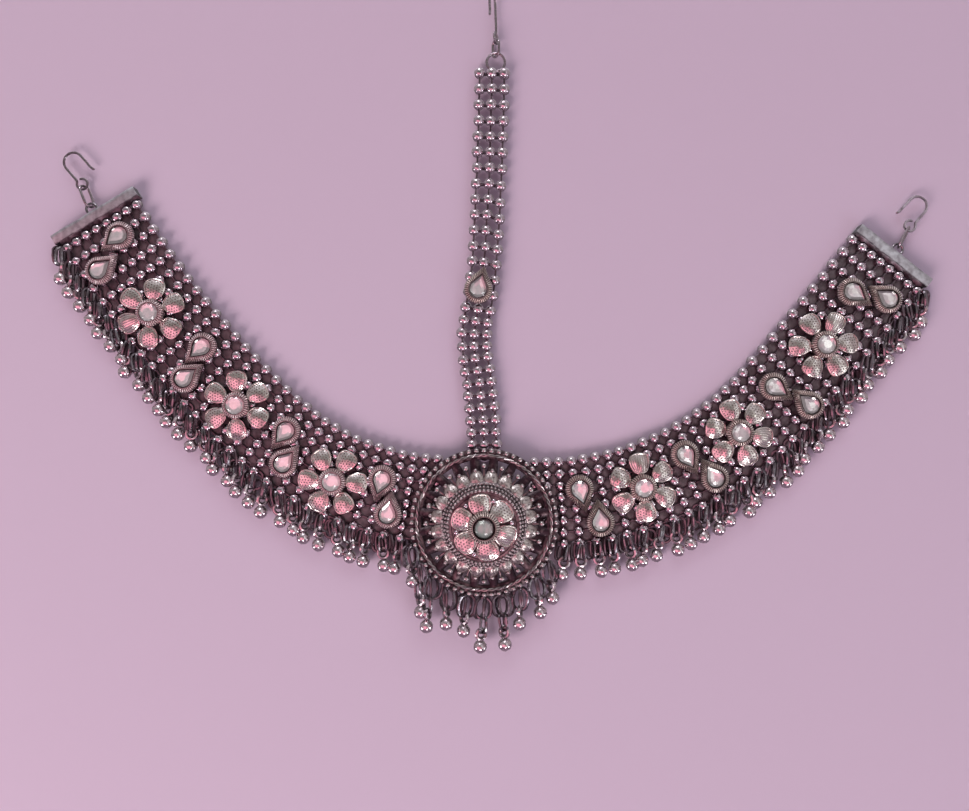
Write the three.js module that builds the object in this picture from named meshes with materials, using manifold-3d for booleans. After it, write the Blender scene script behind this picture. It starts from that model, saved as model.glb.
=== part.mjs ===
// A matha patti, a head jewel in oxidised silver. Two bands of ball mesh meet behind a domed
// pendant, and a strand of three ball rows rises from it. Flowers and pear settings with stones
// lie on the bands, small drops hang along the lower edge, and each of the three ends has a hook.
// Millimetres, +Z up, +X to the viewer's right, and the front faces -Y. The origin is the point
// inside the bow of the top hook that bears on whatever the jewel hangs from.

import * as THREE from "three";
import { mergeVertices } from "three/addons/utils/BufferGeometryUtils.js";
import Module from "manifold-3d";

const wasm = await Module();
wasm.setup();

const DEG = Math.PI / 180;
const SAME_POINT = 1e-3; // corners closer than this are one corner

// Driving dimensions of the ball mesh
const GAP = 0.3; // clearance between neighbouring pieces
const BALL = 3.0; // diameter of a ball
const BAND_ROWS = 8;
const BAND_PITCH = 3.5; // between rows, across a band
const BAND_COLUMNS = 31;
const BAND_STEPS = 16;
const STRAND_ROWS = 3;
const STRAND_PITCH = 3.66;
const STRAND_STEPS = 22;
const VALLEY = 0.2; // height of the grooves between rows over the ball plane
const BAND_ACROSS = (BAND_ROWS - 1) * BAND_PITCH;

// Driving dimensions of the hooks, links and eyes
const WIRE = 0.76;
const WIRE_SIDES = 5;
const RING_SIDES = 12;
const PLAY = 0.25; // between the wires of two linked pieces
const LINK_HALF_WIDTH = 1.5;
const EYE_RADIUS = 1.6;
const STRAND_EYE_RADIUS = 2.7;
const HOOK_STEPS = 23;
const HOOK_LOOP_RADIUS = 1.6;
const HOOK_LOOP_TURN = 310; // degrees of the closed loop that the wire goes round
const HOOK_NECK = { radius: 1.3, turn: 50 }; // bend from the loop into the shank
const HOOK_BOW_RADIUS = 2.9;
const HOOK_LEG = 4.2; // straight end of the bow
const HOOK_TIP = { run: 1.6, turn: 30 }; // tip bent outwards

// Driving dimensions of the end bars, the drops and the pendant
const BAR = { width: 3.2, depth: 3.8 };
const DROP_SIDES = 10;
const DROP_STEM_RADIUS = 0.45;
const BAND_HANG = 7.6; // from the edge wire down to the middle of a drop's ball
const PENDANT_HANG = 11.4;
const FIRST_DROP_COLUMN = 3; // the columns before it lie behind the pendant
const DROP_SHARE = 0.4; // where in the width of its column a drop hangs
const HEAD_RADIUS = 0.5; // edge wire that carries the drops
const HEAD_STEPS = 18;
const PENDANT = { x: -2.4, z: -157.5, rimRadius: 22, rimDepth: 1.2, domeHeight: 10, turn: -20 };
const RIM_SIDES = 40;
const STEMS = { count: 20, inner: 11.6, outer: 19.2, root: 1.6, tip: 0.5, flatness: 0.5, height: 0.8 };
const SETTING_SIDES = 12; // facets round a set stone and its bezel
const PENDANT_DROPS = { count: 10, from: 205, to: 329, steps: 14 };

// Each band's inner row of balls, from behind the pendant out to the end bar, and the bar's length.
const LIMBS = {
  left: {
    x: -15.1,
    z: -139.2,
    side: -1,
    barLength: 28.5,
    heading: 2.7,
    runs: [
      { run: 49.3, turn: 40.6 },
      { run: 75.9, turn: 15.4 },
    ],
  },
  right: {
    x: 11.5,
    z: -140.0,
    side: 1,
    barLength: 26.6,
    heading: -2.3,
    runs: [
      { run: 73.1, turn: 51.5 },
      { run: 51.5, turn: 2.6 },
    ],
  },
};

// The strand's middle row, from its top down to behind the pendant's rim.
const STRAND_RUNS = [
  { run: 54.3, turn: -2.9 },
  { run: 20.6, turn: -7.4 },
  { run: 13.2, turn: 20.9 },
  { run: 29.0, turn: -9.8 },
];
const STRAND_HEADING = -90.7;

// Flowers: centre and turn of the first petal, in degrees from +X towards +Z.
const FLOWERS = [
  { name: "flower_left_1", x: -101.3, z: -95.4, turn: 23 },
  { name: "flower_left_2", x: -75.9, z: -122.8, turn: 30 },
  { name: "flower_left_3", x: -47.4, z: -145.4, turn: -4 },
  { name: "flower_right_1", x: 44.8, z: -147.2, turn: 38 },
  { name: "flower_right_2", x: 73.4, z: -130.9, turn: 50 },
  { name: "flower_right_3", x: 98.6, z: -104.8, turn: 3 },
];

// Pear settings: centre of the round end and the way the tip points, from +X towards +Z.
const PEARS = [
  { name: "pear_left_1", x: -110.5, z: -72.4, tip: -140 },
  { name: "pear_left_2", x: -116.6, z: -82.9, tip: 40 },
  { name: "pear_left_3", x: -85.9, z: -105.4, tip: -137 },
  { name: "pear_left_4", x: -91.4, z: -114.9, tip: 37 },
  { name: "pear_left_5", x: -61.0, z: -130.3, tip: -129 },
  { name: "pear_left_6", x: -62.0, z: -140.1, tip: 49 },
  { name: "pear_left_7", x: -32.6, z: -144.7, tip: -108 },
  { name: "pear_left_8", x: -31.0, z: -155.2, tip: 79 },
  { name: "pear_right_1", x: 26.0, z: -147.6, tip: -75 },
  { name: "pear_right_2", x: 32.2, z: -157.6, tip: 98 },
  { name: "pear_right_3", x: 57.2, z: -137.3, tip: -59 },
  { name: "pear_right_4", x: 66.2, z: -144.5, tip: 125 },
  { name: "pear_right_5", x: 83.4, z: -117.2, tip: -34 },
  { name: "pear_right_6", x: 94.4, z: -122.8, tip: 139 },
  { name: "pear_right_7", x: 106.7, z: -89.1, tip: -35 },
  { name: "pear_right_8", x: 117.5, z: -91.4, tip: 146 },
  { name: "pear_strand", x: -4.1, z: -88.4, tip: 75 },
];

// Turned profiles: radius (or share of the outline) and height above the seat.
const PEAR = {
  radius: 4.2,
  reach: 1.74, // distance of the tip in radii
  profile: [
    { r: 0, h: 0 },
    { r: 1, h: 0 },
    { r: 1, h: 1.3 },
    { r: 0.86, h: 1.9 },
    { r: 0.66, h: 1.6 },
    { r: 0.36, h: 2.6 },
    { r: 0, h: 2.6 },
  ],
};
const FLOWER = {
  petals: 6,
  petalCentre: 7.1,
  petalHalfLength: 3.2,
  petalHalfWidth: 2.9,
  petalDepth: 1.2,
  notchRadius: 4.4,
  core: [
    { r: 0, h: 0.2 },
    { r: 3.8, h: 0.2 },
    { r: 3.8, h: 2.3 },
    { r: 3.1, h: 2.9 },
    { r: 2.4, h: 2.6 },
    { r: 1.4, h: 3.4 },
    { r: 0, h: 3.4 },
  ],
};
const PENDANT_FLOWER = {
  petals: 6,
  petalCentre: 6.3,
  petalHalfLength: 3.1,
  petalHalfWidth: 2.9,
  petalDepth: 1.6,
  notchRadius: 4.2,
  core: [
    { r: 0, h: 0.2 },
    { r: 3.7, h: 0.2 },
    { r: 3.7, h: 2.8 },
    { r: 3.0, h: 3.5 },
    { r: 2.5, h: 3.2 },
    { r: 1.5, h: 4.2 },
    { r: 0, h: 4.2 },
  ],
};
const RIM_INNER = 18.6;
const RIM_PROFILE = [
  { r: RIM_INNER, h: 0 },
  { r: PENDANT.rimRadius, h: 0 },
  { r: PENDANT.rimRadius, h: PENDANT.rimDepth },
  { r: 20.4, h: 2.2 },
  { r: RIM_INNER, h: PENDANT.rimDepth },
  { r: RIM_INNER, h: 0 },
];
const DOME_PROFILE = [
  { r: 0, h: 0 },
  { r: 12.8, h: 0 },
  { r: 12.8, h: 4.4 },
  { r: 15.0, h: 5.2 },
  { r: 15.0, h: 6.2 },
  { r: 11.2, h: 7.0 },
  { r: 10.6, h: PENDANT.domeHeight },
  { r: 0, h: PENDANT.domeHeight },
];
// Below its stem a drop is measured from the middle of its ball.
const DROP_BALL = [
  { r: 0, h: -1.7 },
  { r: 1.65, h: -0.5 },
  { r: 1.5, h: 1.1 },
  { r: DROP_STEM_RADIUS, h: 2.3 },
];

const FINISHES = {
  balls: { color: 0x8d8487, roughness: 0.28, metalness: 1 },
  setting: { color: 0xa09797, roughness: 0.35, metalness: 1 },
  drops: { color: 0x7d7476, roughness: 0.25, metalness: 1 },
  bar: { color: 0x9a9594, roughness: 0.55, metalness: 1 },
  wire: { color: 0x6b6266, roughness: 0.35, metalness: 1 },
};

// A plane curve in XZ of runs with a constant bend each. The heading is measured up from the
// horizontal, and side -1 mirrors the curve left to right.
class ArcRun extends THREE.Curve {
  constructor({ x, z, heading, side = 1, runs }) {
    super();
    Object.assign(this, { x, z, heading, side, runs });
    this.total = runs.reduce((sum, row) => sum + row.run, 0);
  }

  // Place and heading, in radians, after a distance along the curve.
  at(distance) {
    let { x, z } = this;
    let angle = this.heading * DEG;
    let left = distance;
    for (const row of this.runs) {
      const run = Math.min(left, row.run);
      const turn = (row.turn * DEG * run) / row.run;
      const chord = turn === 0 ? run : (2 * run * Math.sin(turn / 2)) / turn;
      x += this.side * chord * Math.cos(angle + turn / 2);
      z += chord * Math.sin(angle + turn / 2);
      angle += turn;
      left -= run;
    }
    return { x, z, angle };
  }

  getPoint(t, target = new THREE.Vector3()) {
    const { x, z } = this.at(t * this.total);
    return target.set(x, 0, z);
  }

  // The curve beside this one, a distance away on the outer side of its bend.
  outset(distance) {
    const angle = this.heading * DEG;
    return new ArcRun({
      x: this.x + this.side * distance * Math.sin(angle),
      z: this.z - distance * Math.cos(angle),
      heading: this.heading,
      side: this.side,
      runs: this.runs.map(({ run, turn }) => ({ run: run + distance * turn * DEG, turn })),
    });
  }
}

// A closed geometry as a solid that can be joined and cut.
function solid(geometry) {
  const bare = new THREE.BufferGeometry();
  bare.setAttribute("position", geometry.getAttribute("position"));
  bare.setIndex(geometry.index);
  const merged = mergeVertices(bare, SAME_POINT);
  return new wasm.Manifold(
    new wasm.Mesh({
      numProp: 3,
      vertProperties: merged.attributes.position.array,
      triVerts: new Uint32Array(merged.index.array),
    }),
  );
}

// Several closed geometries soldered into one.
function fused(geometries) {
  const joined = geometries.map(solid).reduce((whole, piece) => whole.add(piece));
  const { vertProperties, triVerts } = joined.getMesh();
  const geometry = new THREE.BufferGeometry();
  geometry.setAttribute("position", new THREE.BufferAttribute(vertProperties, 3));
  geometry.setIndex(new THREE.BufferAttribute(triVerts, 1));
  geometry.computeVertexNormals();
  return geometry;
}

function piece(name, geometry, finish) {
  const mesh = new THREE.Mesh(geometry, new THREE.MeshStandardMaterial({ ...finish }));
  mesh.name = name;
  return mesh;
}

// A profile turned about the axis that points to the front.
function turned(profile, sides) {
  const points = profile.map(({ r, h }) => new THREE.Vector2(r, h));
  return new THREE.LatheGeometry(points, sides).rotateX(Math.PI);
}

function polygon(radius, sides) {
  const corners = Array.from({ length: sides }, (_, i) => {
    const angle = (2 * Math.PI * i) / sides;
    return new THREE.Vector2(radius * Math.cos(angle), radius * Math.sin(angle));
  });
  return new THREE.Shape(corners);
}

function swept(shape, path, steps) {
  return new THREE.ExtrudeGeometry(shape, { steps, extrudePath: path, bevelEnabled: false });
}

// A wire ring in the plane of the mesh, stretched to an oblong by moving its two halves apart.
function ring(radius, stretch = 0) {
  const geometry = new THREE.TorusGeometry(radius, WIRE / 2, WIRE_SIDES, RING_SIDES);
  geometry.rotateZ(Math.PI / RING_SIDES).rotateX(Math.PI / 2);
  const places = geometry.getAttribute("position");
  for (let i = 0; i < places.count; i += 1) {
    places.setZ(i, places.getZ(i) + stretch * Math.sign(places.getZ(i)));
  }
  return geometry;
}

// Section of a mesh strip: flat at the back, a ridge for each row of balls at the front. Its
// first row lies on the path, and toOuter says which way the other rows go.
function ridgedSection(rows, pitch, toOuter, firstRow) {
  const edge = BALL / 2;
  const low = firstRow - edge;
  const high = firstRow + (rows - 1) * pitch + edge;
  const corners = [new THREE.Vector2(-edge, low), new THREE.Vector2(VALLEY, low)];
  for (let row = 0; row < rows; row += 1) {
    const across = firstRow + row * pitch;
    corners.push(new THREE.Vector2(edge, across));
    corners.push(new THREE.Vector2(VALLEY, Math.min(across + pitch / 2, high)));
  }
  corners.at(-1).y = high;
  corners.push(new THREE.Vector2(-edge, high));
  return new THREE.Shape(corners.map((corner) => new THREE.Vector2(corner.x, toOuter * corner.y)));
}

function band(limb) {
  return swept(ridgedSection(BAND_ROWS, BAND_PITCH, limb.side, 0), limb, BAND_STEPS);
}

// An end bar with its soldered eye, which points along +X.
function endBar(length) {
  const box = new THREE.BoxGeometry(BAR.width, BAR.depth, length);
  const eye = ring(EYE_RADIUS).translate(BAR.width / 2 + EYE_RADIUS - WIRE / 2, 0, 0);
  return fused([box, eye]);
}

// Outline of a pear: a round end with two straight flanks that meet at the tip, along +X.
function pearOutline(angle, reach) {
  const tangent = Math.acos(1 / reach);
  const off = Math.abs(angle);
  return off < tangent ? 1 / Math.cos(tangent - off) : 1;
}

// A pear setting with its stone: a turned profile drawn out to the pear outline.
function pearSetting() {
  const geometry = turned(PEAR.profile, SETTING_SIDES);
  const places = geometry.getAttribute("position");
  for (let i = 0; i < places.count; i += 1) {
    const [x, z] = [places.getX(i), places.getZ(i)];
    const scale = PEAR.radius * pearOutline(Math.atan2(z, x), PEAR.reach);
    places.setX(i, x * scale);
    places.setZ(i, z * scale);
  }
  return geometry;
}

// Outline of a flower's petals: each is an ellipse, met from the centre at a few angles that are
// shares of the half angle of a petal.
function petalOutline({ petals, petalCentre, petalHalfLength, petalHalfWidth, notchRadius }) {
  const spread = 180 / petals;
  const offsets = [-0.74, -0.4, 0, 0.4, 0.74];
  const corners = [];
  for (let petal = 0; petal < petals; petal += 1) {
    const middle = petal * 2 * spread;
    for (const offset of offsets) {
      const angle = offset * spread * DEG;
      const a = (Math.cos(angle) / petalHalfLength) ** 2 + (Math.sin(angle) / petalHalfWidth) ** 2;
      const b = (petalCentre * Math.cos(angle)) / petalHalfLength ** 2;
      const c = (petalCentre / petalHalfLength) ** 2 - 1;
      const reach = (b + Math.sqrt(Math.max(b * b - a * c, 0))) / a;
      corners.push({ reach, angle: middle * DEG + angle });
    }
    corners.push({ reach: notchRadius, angle: (middle + spread) * DEG });
  }
  return new THREE.Shape(
    corners.map(
      ({ reach, angle }) => new THREE.Vector2(reach * Math.cos(angle), reach * Math.sin(angle)),
    ),
  );
}

// A flower with its milled core and the stone set in it.
function flower(size) {
  const petals = new THREE.ExtrudeGeometry(petalOutline(size), {
    depth: size.petalDepth,
    bevelEnabled: false,
  });
  petals.rotateX(Math.PI / 2);
  return fused([petals, turned(size.core, SETTING_SIDES)]);
}

// Rim, pierced gallery of tapering stems, and a dome with the flange that carries its leaves.
function pendantFrame() {
  const { count, inner, outer, root, tip, flatness, height } = STEMS;
  const pieces = [turned(RIM_PROFILE, RIM_SIDES), turned(DOME_PROFILE, count)];
  for (let i = 0; i < count; i += 1) {
    const stem = new THREE.CylinderGeometry(tip, root, outer - inner, WIRE_SIDES);
    stem.scale(1, 1, flatness).translate(0, (outer + inner) / 2, 0).rotateX(Math.PI / 2);
    stem.rotateY((2 * Math.PI * (i + 0.5)) / count).translate(0, -height, 0);
    pieces.push(stem);
  }
  return fused(pieces);
}

// A drop whose stem reaches up to a place on an edge wire.
function drop({ x, y, z }, hang) {
  const stem = [
    { r: DROP_STEM_RADIUS, h: hang },
    { r: 0, h: hang },
  ];
  const points = [...DROP_BALL, ...stem].map(({ r, h }) => new THREE.Vector2(r, h));
  const geometry = new THREE.LatheGeometry(points, DROP_SIDES).rotateX(Math.PI / 2);
  return geometry.translate(x, y, z - hang);
}

// Drops on an edge wire along the outer row of a band, one to each column of balls.
function bandFringe(limb) {
  const head = limb.outset(BAND_ACROSS + BALL / 2 + GAP + HEAD_RADIUS);
  const pieces = [swept(polygon(HEAD_RADIUS, WIRE_SIDES), head, HEAD_STEPS)];
  for (let column = FIRST_DROP_COLUMN; column < BAND_COLUMNS; column += 1) {
    const place = head.getPointAt((column + DROP_SHARE) / BAND_COLUMNS);
    pieces.push(drop(place, BAND_HANG));
  }
  return fused(pieces);
}

// Drops on an edge wire under the pendant's rim.
function pendantFringe() {
  const radius = PENDANT.rimRadius + GAP + HEAD_RADIUS;
  const { count, from, to, steps } = PENDANT_DROPS;
  const turn = to - from;
  const head = new ArcRun({
    x: radius * Math.cos(from * DEG),
    z: radius * Math.sin(from * DEG),
    heading: from + 90,
    runs: [{ run: radius * turn * DEG, turn }],
  });
  const pieces = [swept(polygon(HEAD_RADIUS, WIRE_SIDES), head, steps)];
  for (let i = 0; i < count; i += 1) {
    pieces.push(drop(head.getPointAt((i + 0.5) / count), PENDANT_HANG));
  }
  return fused(pieces);
}

// The wire of a hook, upright: a closed loop about the origin, a shank and an open bow.
function hookPath(shank) {
  const start = HOOK_NECK.turn - HOOK_LOOP_TURN;
  return new ArcRun({
    x: HOOK_LOOP_RADIUS * Math.cos(start * DEG),
    z: HOOK_LOOP_RADIUS * Math.sin(start * DEG),
    heading: start + 90,
    runs: [
      { run: HOOK_LOOP_RADIUS * HOOK_LOOP_TURN * DEG, turn: HOOK_LOOP_TURN },
      { run: HOOK_NECK.radius * HOOK_NECK.turn * DEG, turn: -HOOK_NECK.turn },
      { run: shank, turn: 0 },
      { run: HOOK_BOW_RADIUS * Math.PI, turn: 180 },
      { run: HOOK_LEG, turn: 0 },
      { run: HOOK_TIP.run, turn: -HOOK_TIP.turn },
    ],
  });
}

function hook(shank) {
  return swept(polygon(WIRE / 2, WIRE_SIDES), hookPath(shank), HOOK_STEPS);
}

// Point inside the middle of a hook's bow, where it bears.
function bearing(shank) {
  const path = hookPath(shank);
  const before = path.runs.slice(0, 3).reduce((sum, row) => sum + row.run, 0);
  const crown = path.at(before + (HOOK_BOW_RADIUS * Math.PI) / 2);
  return new THREE.Vector3(crown.x, 0, crown.z - WIRE / 2);
}

// An oval link from an eye, and the hook that hangs in it. The chain leaves the eye at a slope,
// the link is turned about the chain, and the hook leans and is turned about its shank.
function chain(name, eye, eyeRadius, { slope, length, linkTurn, lean, hookTurn, shank }) {
  const group = new THREE.Group();
  const crossing = WIRE + PLAY;
  const way = new THREE.Vector3(Math.sin(slope * DEG), 0, Math.cos(slope * DEG));
  const half = length / 2;
  const link = piece(`link_${name}`, ring(LINK_HALF_WIDTH, half - LINK_HALF_WIDTH), FINISHES.wire);
  link.position.copy(eye).addScaledVector(way, eyeRadius - crossing + half);
  link.rotation.set(0, slope * DEG, linkTurn * DEG, "YZX");
  const hung = piece(`hook_${name}`, hook(shank), FINISHES.wire);
  hung.position.copy(link.position).addScaledVector(way, half - crossing + HOOK_LOOP_RADIUS);
  hung.rotation.set(0, lean * DEG, hookTurn * DEG, "YZX");
  group.add(link, hung);
  return group;
}

// Slope, lean and turns in degrees; lengths of the link and the hook's shank in millimetres.
const CHAINS = {
  left: { slope: -21, length: 6.8, linkTurn: 62, lean: -41, hookTurn: 180, shank: 4.4 },
  right: { slope: 28, length: 6.8, linkTurn: 62, lean: 42, hookTurn: 0, shank: 3.6 },
  top: { slope: 0, length: 5.0, linkTurn: -54, lean: -2, hookTurn: 72, shank: 7.9 },
};

// The top hook bears on the origin, which sets where its loop, its link and the strand hang.
const topBearing = bearing(CHAINS.top.shank).applyEuler(
  new THREE.Euler(0, CHAINS.top.lean * DEG, CHAINS.top.hookTurn * DEG, "YZX"),
);
const meshPlane = -topBearing.y; // depth of the balls' centres behind the origin
const seatPlane = meshPlane - BALL / 2 - GAP; // back of what lies on the front of the mesh
const topLoop = topBearing.clone().negate();
const toStrandEye = STRAND_EYE_RADIUS + HOOK_LOOP_RADIUS + CHAINS.top.length - 2 * (WIRE + PLAY);
const strandEye = topLoop.clone().add(new THREE.Vector3(0, 0, -toStrandEye));

function strand() {
  const path = new ArcRun({
    x: 0,
    z: strandEye.z - STRAND_EYE_RADIUS + WIRE,
    heading: STRAND_HEADING,
    runs: STRAND_RUNS,
  });
  const middle = -((STRAND_ROWS - 1) * STRAND_PITCH) / 2;
  const strip = swept(ridgedSection(STRAND_ROWS, STRAND_PITCH, 1, middle), path, STRAND_STEPS);
  const eye = ring(STRAND_EYE_RADIUS).translate(strandEye.x, 0, strandEye.z);
  return fused([strip, eye]);
}

const jewel = new THREE.Group();

const mesh = new THREE.Group();
mesh.position.y = meshPlane;
jewel.add(mesh);
mesh.add(piece("strand", strand(), FINISHES.balls));

for (const [name, row] of Object.entries(LIMBS)) {
  const limb = new ArcRun(row);
  mesh.add(piece(`band_${name}`, band(limb), FINISHES.balls));
  mesh.add(piece(`fringe_${name}`, bandFringe(limb), FINISHES.drops));

  const middle = limb.outset(BAND_ACROSS / 2);
  const end = middle.at(middle.total);
  const out = new THREE.Vector3(limb.side * Math.cos(end.angle), 0, Math.sin(end.angle));
  const bar = piece(`end_bar_${name}`, endBar(row.barLength), FINISHES.bar);
  bar.position.set(end.x, 0, end.z).addScaledVector(out, GAP + BAR.width / 2);
  bar.rotation.y = -Math.atan2(out.z, out.x);
  mesh.add(bar);

  const eye = bar.position.clone();
  eye.addScaledVector(out, BAR.width / 2 + EYE_RADIUS - WIRE / 2);
  mesh.add(chain(name, eye, EYE_RADIUS, CHAINS[name]));
}
mesh.add(chain("top", new THREE.Vector3(strandEye.x, 0, strandEye.z), STRAND_EYE_RADIUS, CHAINS.top));

const front = new THREE.Group();
front.position.y = seatPlane;
jewel.add(front);
for (const { name, x, z, turn } of FLOWERS) {
  const set = piece(name, flower(FLOWER), FINISHES.setting);
  set.position.set(x, 0, z);
  set.rotation.y = -turn * DEG;
  front.add(set);
}
for (const { name, x, z, tip } of PEARS) {
  const set = piece(name, pearSetting(), FINISHES.setting);
  set.position.set(x, 0, z);
  set.rotation.y = -tip * DEG;
  front.add(set);
}

const pendant = new THREE.Group();
pendant.position.set(PENDANT.x, 0, PENDANT.z);
front.add(pendant);
pendant.add(piece("pendant_frame", pendantFrame(), FINISHES.setting));
const pendantFlower = piece("pendant_flower", flower(PENDANT_FLOWER), FINISHES.setting);
pendantFlower.position.y = -PENDANT.domeHeight - GAP;
pendantFlower.rotation.y = -PENDANT.turn * DEG;
pendant.add(pendantFlower);
const pendantDrops = piece("fringe_pendant", pendantFringe(), FINISHES.drops);
pendantDrops.position.y = -HEAD_RADIUS - GAP;
pendant.add(pendantDrops);

export default jewel;
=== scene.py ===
"""Looks of a matha patti, a head jewel in oxidised silver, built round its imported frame.

A shape is modelled once on the bench, in millimetres with its front towards +Z. Its copies are
placed in the jewel's frame, in metres, with the front towards -Y and +Z up.
"""

import logging
import math
import random
from collections.abc import Callable, Iterable, Sequence
from dataclasses import dataclass, field
from enum import Enum
from functools import cached_property

import bmesh
import bpy
import numpy as np
from mathutils import Matrix, Vector


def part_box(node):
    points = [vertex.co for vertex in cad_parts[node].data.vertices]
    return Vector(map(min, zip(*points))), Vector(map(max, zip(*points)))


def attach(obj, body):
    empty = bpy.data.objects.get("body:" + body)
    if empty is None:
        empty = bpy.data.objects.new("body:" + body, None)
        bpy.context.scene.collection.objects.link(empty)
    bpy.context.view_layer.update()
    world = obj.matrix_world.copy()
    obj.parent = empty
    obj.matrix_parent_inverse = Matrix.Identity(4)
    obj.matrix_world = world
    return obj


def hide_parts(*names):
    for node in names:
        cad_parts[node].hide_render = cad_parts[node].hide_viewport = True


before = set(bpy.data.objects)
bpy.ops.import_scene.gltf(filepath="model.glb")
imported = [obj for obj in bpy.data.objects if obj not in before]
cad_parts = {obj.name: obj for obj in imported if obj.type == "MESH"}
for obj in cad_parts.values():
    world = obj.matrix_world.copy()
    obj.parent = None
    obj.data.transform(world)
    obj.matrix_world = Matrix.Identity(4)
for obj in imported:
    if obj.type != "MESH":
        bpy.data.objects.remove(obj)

LOG = logging.getLogger("matha_patti")
MM = 0.001

# Rings of a turned form: share of the outline's size, and height
Rows = tuple[tuple[float, float], ...]
# How much oxide, and on some parts painted shade, darkens points, from 0 to 1: one value, or worked
# out from the points
OxideAndShade = Callable[[np.ndarray], np.ndarray] | float
# A place, a turn or shares, by axis
Triple = tuple[float, float, float]
# Circle of granules: its radius and height, the number of balls, their radius, and the share of a
# step by which they are moved on
Granules = tuple[float, float, int, float, float]

# Sizes that the frame's solids share, in millimetres
GAP = 0.3
BALL = 3.0
BAND_ROWS = 8
BAND_PITCH = 3.5
BAND_COLUMNS = 31
BAND_ACROSS = (BAND_ROWS - 1) * BAND_PITCH
WIRE = 0.76
LINK_PLAY = 0.25
EYE_RADIUS = 1.6
STRAND_EYE = (1.16, -19.89)
STRAND_EYE_RADIUS = 2.7
EDGE_WIRE_RADIUS = 0.5
PENDANT_PLACE = (-2.4, -157.5)
DOME_HEIGHT = 10.0

# The jewel's mesh of balls lies in one plane, and the ornaments are seated on its front.
MESH_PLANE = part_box("band_left")[1].y / MM - BALL / 2
SEAT_PLANE = MESH_PLANE - BALL / 2 - GAP

# Edges that meet at less than this many degrees are smooth: on metal, and on cut stones
METAL_SMOOTH = 40.0
FACET_SMOOTH = 2.0

# Bezels that lie further left than this, in millimetres, are painted lighter, as painted light on
# the jewel's left side.
PAINTED_LIGHT_LEFT_OF = -10.0

# Turns a shape's front from +Z to -Y and its upper edge from +Y to +Z.
STAND_UP = Matrix.Rotation(math.radians(90), 4, "X")


def linear(colour: str) -> tuple[float, float, float, float]:
    """Turns an sRGB hex colour to linear RGBA.

    Args:
        colour: Six hex digits after a hash.

    Returns:
        The linear colour with full alpha.
    """
    shares = [int(colour[i : i + 2], 16) / 255 for i in (1, 3, 5)]
    parts = [s / 12.92 if s <= 0.04045 else ((s + 0.055) / 1.055) ** 2.4 for s in shares]
    return (*parts, 1.0)


def bare_tree(owner: bpy.types.Material | bpy.types.World) -> bpy.types.NodeTree:
    """Empties the node tree of a material or a world.

    Args:
        owner: What the tree belongs to.

    Returns:
        The empty tree.
    """
    owner.use_nodes = True
    owner.node_tree.nodes.clear()
    return owner.node_tree


def add_node(
    tree: bpy.types.NodeTree,
    kind: str,
    settings: dict[str | int, object] | None = None,
    links: dict[str | int, tuple[bpy.types.Node, str | int]] | None = None,
) -> bpy.types.Node:
    """Adds a node with its settings and links.

    Args:
        tree: Node tree that takes the node.
        kind: Type name of the node, after ShaderNode.
        settings: Values of properties, or of inputs by their name or number.
        links: For an input, the node and output that feed it.

    Returns:
        The new node.
    """
    node = tree.nodes.new(f"ShaderNode{kind}")
    for key, value in (settings or {}).items():
        if isinstance(key, str) and hasattr(node, key):
            setattr(node, key, value)
        else:
            node.inputs[key].default_value = value
    for key, (source, output) in (links or {}).items():
        tree.links.new(source.outputs[output], node.inputs[key])
    return node


def select_only(piece: bpy.types.Object) -> None:
    """Makes an object the only selected one, and the active one.

    Args:
        piece: The object.
    """
    bpy.ops.object.select_all(action="DESELECT")
    bpy.context.view_layer.objects.active = piece
    piece.select_set(True)


def facing(x: float, y: float, z: float, turn: float = 0.0) -> Matrix:
    """Gives the place of a shape whose front looks at the viewer.

    Args:
        x: Place to the right, in millimetres.
        y: Depth of the shape's seat, in millimetres.
        z: Height, in millimetres.
        turn: Degrees from +X towards +Z.

    Returns:
        Matrix from the bench's millimetres to the jewel's metres.
    """
    spin = Matrix.Rotation(math.radians(turn), 4, "Z")
    return Matrix.Scale(MM, 4) @ Matrix.Translation((x, y, z)) @ STAND_UP @ spin


def spanning(start: Vector, end: Vector, girth: float = 1.0) -> Matrix:
    """Gives the place of a shape one millimetre long that reaches from one point to another.

    Args:
        start: First point, in millimetres.
        end: Last point, in millimetres.
        girth: How many times as thick it is as modelled.

    Returns:
        Matrix from the bench's millimetres to the jewel's metres.
    """
    way = end - start
    turn = way.to_track_quat("Z", "Y").to_matrix().to_4x4()
    stretch = Matrix.Diagonal((girth, girth, way.length, 1))
    return Matrix.Scale(MM, 4) @ Matrix.Translation((start + end) / 2) @ turn @ stretch


def around(count: int, radius: float, height: float, shift: float = 0.0) -> list[Matrix]:
    """Gives places evenly round a circle, in the bench's frame.

    Args:
        count: Number of places.
        radius: Radius of the circle.
        height: Height of the circle over the seat.
        shift: Share of a step by which the first place is moved on.

    Returns:
        Matrices that turn +X away from the middle.
    """
    step = 2 * math.pi / count
    return [
        Matrix.Rotation((i + shift) * step, 4, "Z") @ Matrix.Translation((radius, 0, height))
        for i in range(count)
    ]


def circle(radius: float, count: int) -> np.ndarray:
    """Gives points evenly round a circle.

    Args:
        radius: Radius of the circle.
        count: Number of points.

    Returns:
        The points, from +X towards +Y.
    """
    turn = 2 * np.pi * np.arange(count) / count
    return radius * np.c_[np.cos(turn), np.sin(turn)]


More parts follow.
